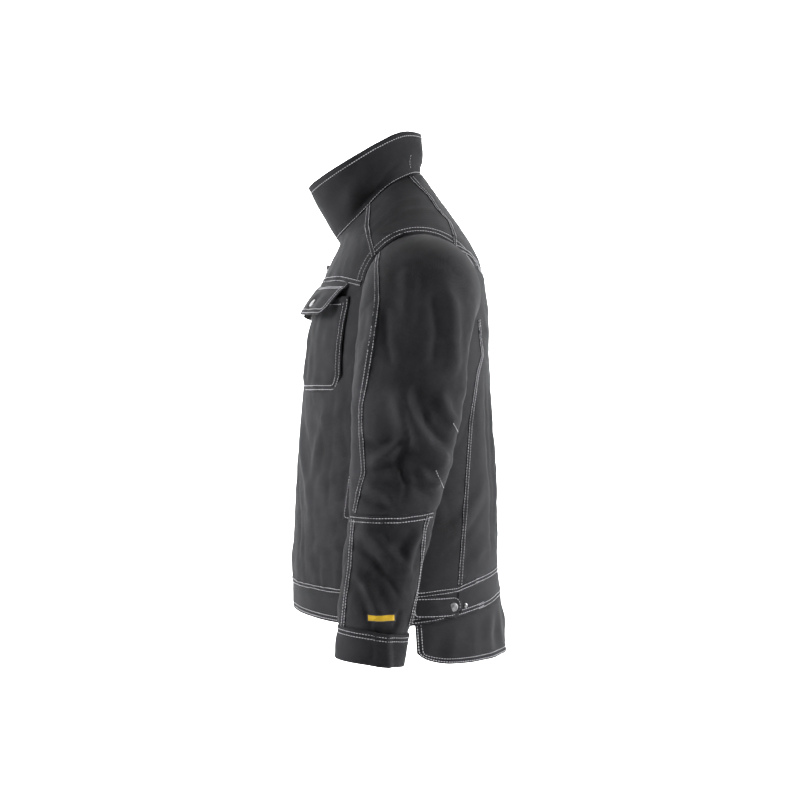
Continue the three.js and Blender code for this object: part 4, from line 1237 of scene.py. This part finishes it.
CAP_PROFILE = [(5.4, 0), (6.4, 0.1), (6.6, 0.7), (6.2, 1.35), (5.3, 1.75), (4.6, 1.7), (4.2, 1.45),
               (3.8, 1.55), (2.6, 1.9), (1.2, 2.05), (0.4, 2.1)]
STUD_PROFILE = [(3.6, 0), (3.9, 0.3), (3.6, 0.7), (2.9, 0.85), (2.5, 1.0), (2.45, 1.9), (2.7, 2.3),
                (2.3, 2.7), (1.2, 2.8), (0.4, 2.75)]


def on_cloth(node, tree, out, back=0.35):
    """Where a snap's CAD node meets the cloth it is set in, and the way it faces there."""
    low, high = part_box(node)
    middle = (np.array(low) + np.array(high)) / 2 * 1000 - ORIGIN
    out = unit(out)
    place, normal, _, _ = tree.ray_cast(Vector(middle + out * 25), Vector(-out))
    if place is None:
        return middle, out
    return np.array(place) - out * back, unit(np.array(normal) + 2 * out)


def build_snaps(side, pocket, flap, tab):
    sign = SIDES[side]
    flap_out = np.array([0.30 * sign, -0.745, 0.598])
    chest_out = np.array([0.42 * sign, -0.88, 0.2])
    waist_out = np.array([sign, 0.12, -0.03])
    spare_out = np.array([sign, 0.3, -0.03])
    for node, profile, out, tree, body in (
        ("chest_snap", CAP_PROFILE, flap_out, flap, f"chest_flap_{side}"),
        ("chest_stud", STUD_PROFILE, chest_out, pocket, "torso"),
        ("waist_snap", CAP_PROFILE, waist_out, tab, f"waist_tab_{side}"),
        ("waist_stud", STUD_PROFILE, waist_out, body_tree, "torso"),
        ("spare_stud", STUD_PROFILE, spare_out, body_tree, "torso"),
    ):
        name = f"{node}_{side}"
        place, facing = on_cloth(name, tree, out)
        piece = lathe(f"{node}_metal_{side}", profile, place, facing, snap_metal)
        dress(piece, lambda thing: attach(thing, body), "snap_metal", name)


# ---- Waist tabs, welts and the sleeve patch ---------------------------------------------
def build_tab(side):
    sign = SIDES[side]
    corners = [[(-10, -631), (57, -631)], [(-10, -662), (57, -662)]]
    points = laid(body_tree, corners, "side", sign, 50, 28, 20)
    normal = grid_normals(points, False)
    y = points[..., 1]
    height = np.linspace(-1, 1, points.shape[0])[:, None]
    cut_back = 1.0 + 9.5 * np.clip((height - 0.45) / 0.55, 0, 1) * smooth(y, 15, 57)
    lift = 1.6 + 5.2 * smooth(y, -6, 14) + 0.5 * ripples(y, points[..., 2], 12, 26)
    points = points + normal * lift[..., None]
    points[..., 1] -= cut_back
    piece, tree = cloth(f"tab_{side}", points, canvas, 3.0)

    def place(thing):
        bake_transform(thing)

    dress(piece, place, "canvas", f"waist_tab_{side}")
    sewing = Sewing(tree)
    sewing.row(outline(points, 3.2, True))
    sewing.build(f"tab_{side}", place)
    return tree


def build_welt(side):
    sign = SIDES[side]
    corners = [[(-92, -372), (-74, -372)], [(-112, -520), (-94, -520)]]
    points = laid(body_tree, corners, "side", sign, 16, 60, 8)
    points = points + grid_normals(points, False) * 2.2
    piece, tree = cloth(f"welt_{side}", points, canvas, 2.4)
    dress(piece, torso, "canvas", f"hand_pocket_welt_{side}")
    sewing = Sewing(tree)
    sewing.row(outline(points, 2.4, True))
    sewing.build(f"welt_{side}", torso)


def build_patch(tree):
    corners = [[(-75, -640.5), (-36, -640.5)], [(-75, -651.5), (-36, -651.5)]]
    points = laid(tree, corners, "side", 1, 22, 8, 4)
    normal = grid_normals(points, False)
    under, _ = cloth("patch_backing", points + normal * 0.9, tape, 1.0)
    inner = points[1:-1, 1:-1] + normal[1:-1, 1:-1] * 1.3
    face, _ = cloth("patch_face", inner, patch_yellow, 0.6)
    dress(under, on_forearm(), "patch", "sleeve_patch")
    dress(face, on_forearm(), "patch")


def build_guard():
    """The cloth guard behind the zip, up to the collar."""
    x, z = np.meshgrid(np.linspace(-26, 26, 9), np.linspace(-646, -104, 140))
    points = np.stack([x, front_line(z) + 7.5 + 0.002 * x * x, z], -1)
    piece, _ = cloth("guard_cloth", outward(points, 1, "front"), lining, 1.6)
    dress(piece, torso, "lining", "wind_guard")


def build_chain():
    """The two rows of interlocked teeth, over the CAD's plain bar."""
    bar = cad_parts["zip_teeth"]
    place = np.array([bar.matrix_world @ v.co for v in bar.data.vertices]) * 1000 - ORIGIN
    bands = [(z, np.abs(place[:, 2] - z) < 0.5) for z in np.unique(place[:, 2].round(0))[::2]]
    front = curve([(z, place[band, 1].min()) for z, band in bands if band.any()])
    low, high = place[:, 2].min() + 1, place[:, 2].max() - 1
    parts = []
    corner = np.array([(x, y, z) for z in (-1, 1) for y in (0, 1) for x in (-1, 1)], float)
    quads = [[0, 2, 3, 1], [4, 5, 7, 6], [0, 1, 5, 4], [2, 6, 7, 3], [0, 4, 6, 2], [1, 3, 7, 5]]
    for k, z in enumerate(np.arange(low, high, 1.6)):
        side = 1 if k % 2 else -1
        size = np.where(corner[:, 1:2] > 0, [[1.7, 2.6, 0.75]], [[1.35, 0.0, 0.55]])
        at = np.array([side * 1.1, front(z) + 0.1, z])
        parts.append((at + corner * size, quads))
    piece = shaded("zip_chain", *merge(parts), zip_metal)
    dress(piece, torso, "zip_metal", "zip_teeth")


build_collar()
build_lining()
build_tail()
build_guard()
build_chain()
for side_name in SIDES:
    build_welt(side_name)
    build_snaps(side_name, build_pocket(side_name), build_flap(side_name), build_tab(side_name))
build_patch(sleeve_trees["left"])


# ---- Carried-over CAD nodes ------------------------------------------------------------
for node, look in (
    ("hanger_loop", tape), ("neck_label", label_grey), ("zip_box", zip_metal),
    ("zip_slider", zip_metal), ("zip_puller", zip_metal), ("zip_tape_left", tape),
    ("zip_tape_right", tape),
):
    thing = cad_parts[node]
    thing.data.materials.clear()
    thing.data.materials.append(look)


# ---- Stage, lights and camera ----------------------------------------------------------
def stage():
    """A floor that turns up into a wall behind the jacket."""
    white = plain("stage_white", (0.92, 0.92, 0.92), 0.9)
    size, floor_z, wall_x, radius = 9.0, -1.25, -3.2, 1.2
    bend = [(wall_x + radius * (1 - np.sin(t)), floor_z + radius * (1 - np.cos(t)))
            for t in np.linspace(0, np.pi / 2, 16)]
    line = [(6.0, floor_z)] + bend + [(wall_x, 7.0)]
    vertices = [(x, y, z) for x, z in line for y in (-size, size)]
    faces = [[2 * i, 2 * i + 1, 2 * i + 3, 2 * i + 2] for i in range(len(line) - 1)]
    floor = shaded("backdrop", np.array(vertices), faces, white, local=False)


def area_light(name, place, target, size, energy):
    data = bpy.data.lights.new(name, "AREA")
    data.shape = "RECTANGLE"
    data.size, data.size_y = size
    data.energy = energy
    light = bpy.data.objects.new(name, data)
    light.location = place
    light.rotation_euler = (Vector(target) - Vector(place)).to_track_quat("-Z", "Y").to_euler()
    bpy.context.scene.collection.objects.link(light)


def lights():
    middle = (0, 0, -0.35)
    area_light("key", (0.7, -2.9, 0.6), middle, (0.7, 1.0), 205)
    area_light("fill", (0.7, 2.9, 0.4), middle, (0.7, 1.0), 178)
    area_light("front_rim", (-0.7, -2.6, -0.1), middle, (0.9, 2.2), 60)
    area_light("back_rim", (-0.7, 2.6, -0.1), middle, (0.9, 2.2), 60)
    area_light("backdrop_wash", (-1.2, 0, 2.0), (-3.2, 0, 1.6), (3.0, 1.2), 460)
    world = bpy.data.worlds.new("studio")
    world.use_nodes = True
    set_inputs(world.node_tree.nodes["Background"], Color=(1, 1, 1, 1), Strength=0.42)
    bpy.context.scene.world = world
    bpy.context.scene.view_settings.view_transform = "Standard"


def camera():
    data = bpy.data.cameras.new("camera")
    data.lens = 87.1
    data.sensor_width = 36
    eye = bpy.data.objects.new("camera", data)
    eye.location = (3.0, -0.016, -0.3614)
    eye.rotation_euler = Vector((-1, 0, 0)).to_track_quat("-Z", "Y").to_euler()
    bpy.context.scene.collection.objects.link(eye)
    bpy.context.scene.camera = eye


stage()
lights()
camera()
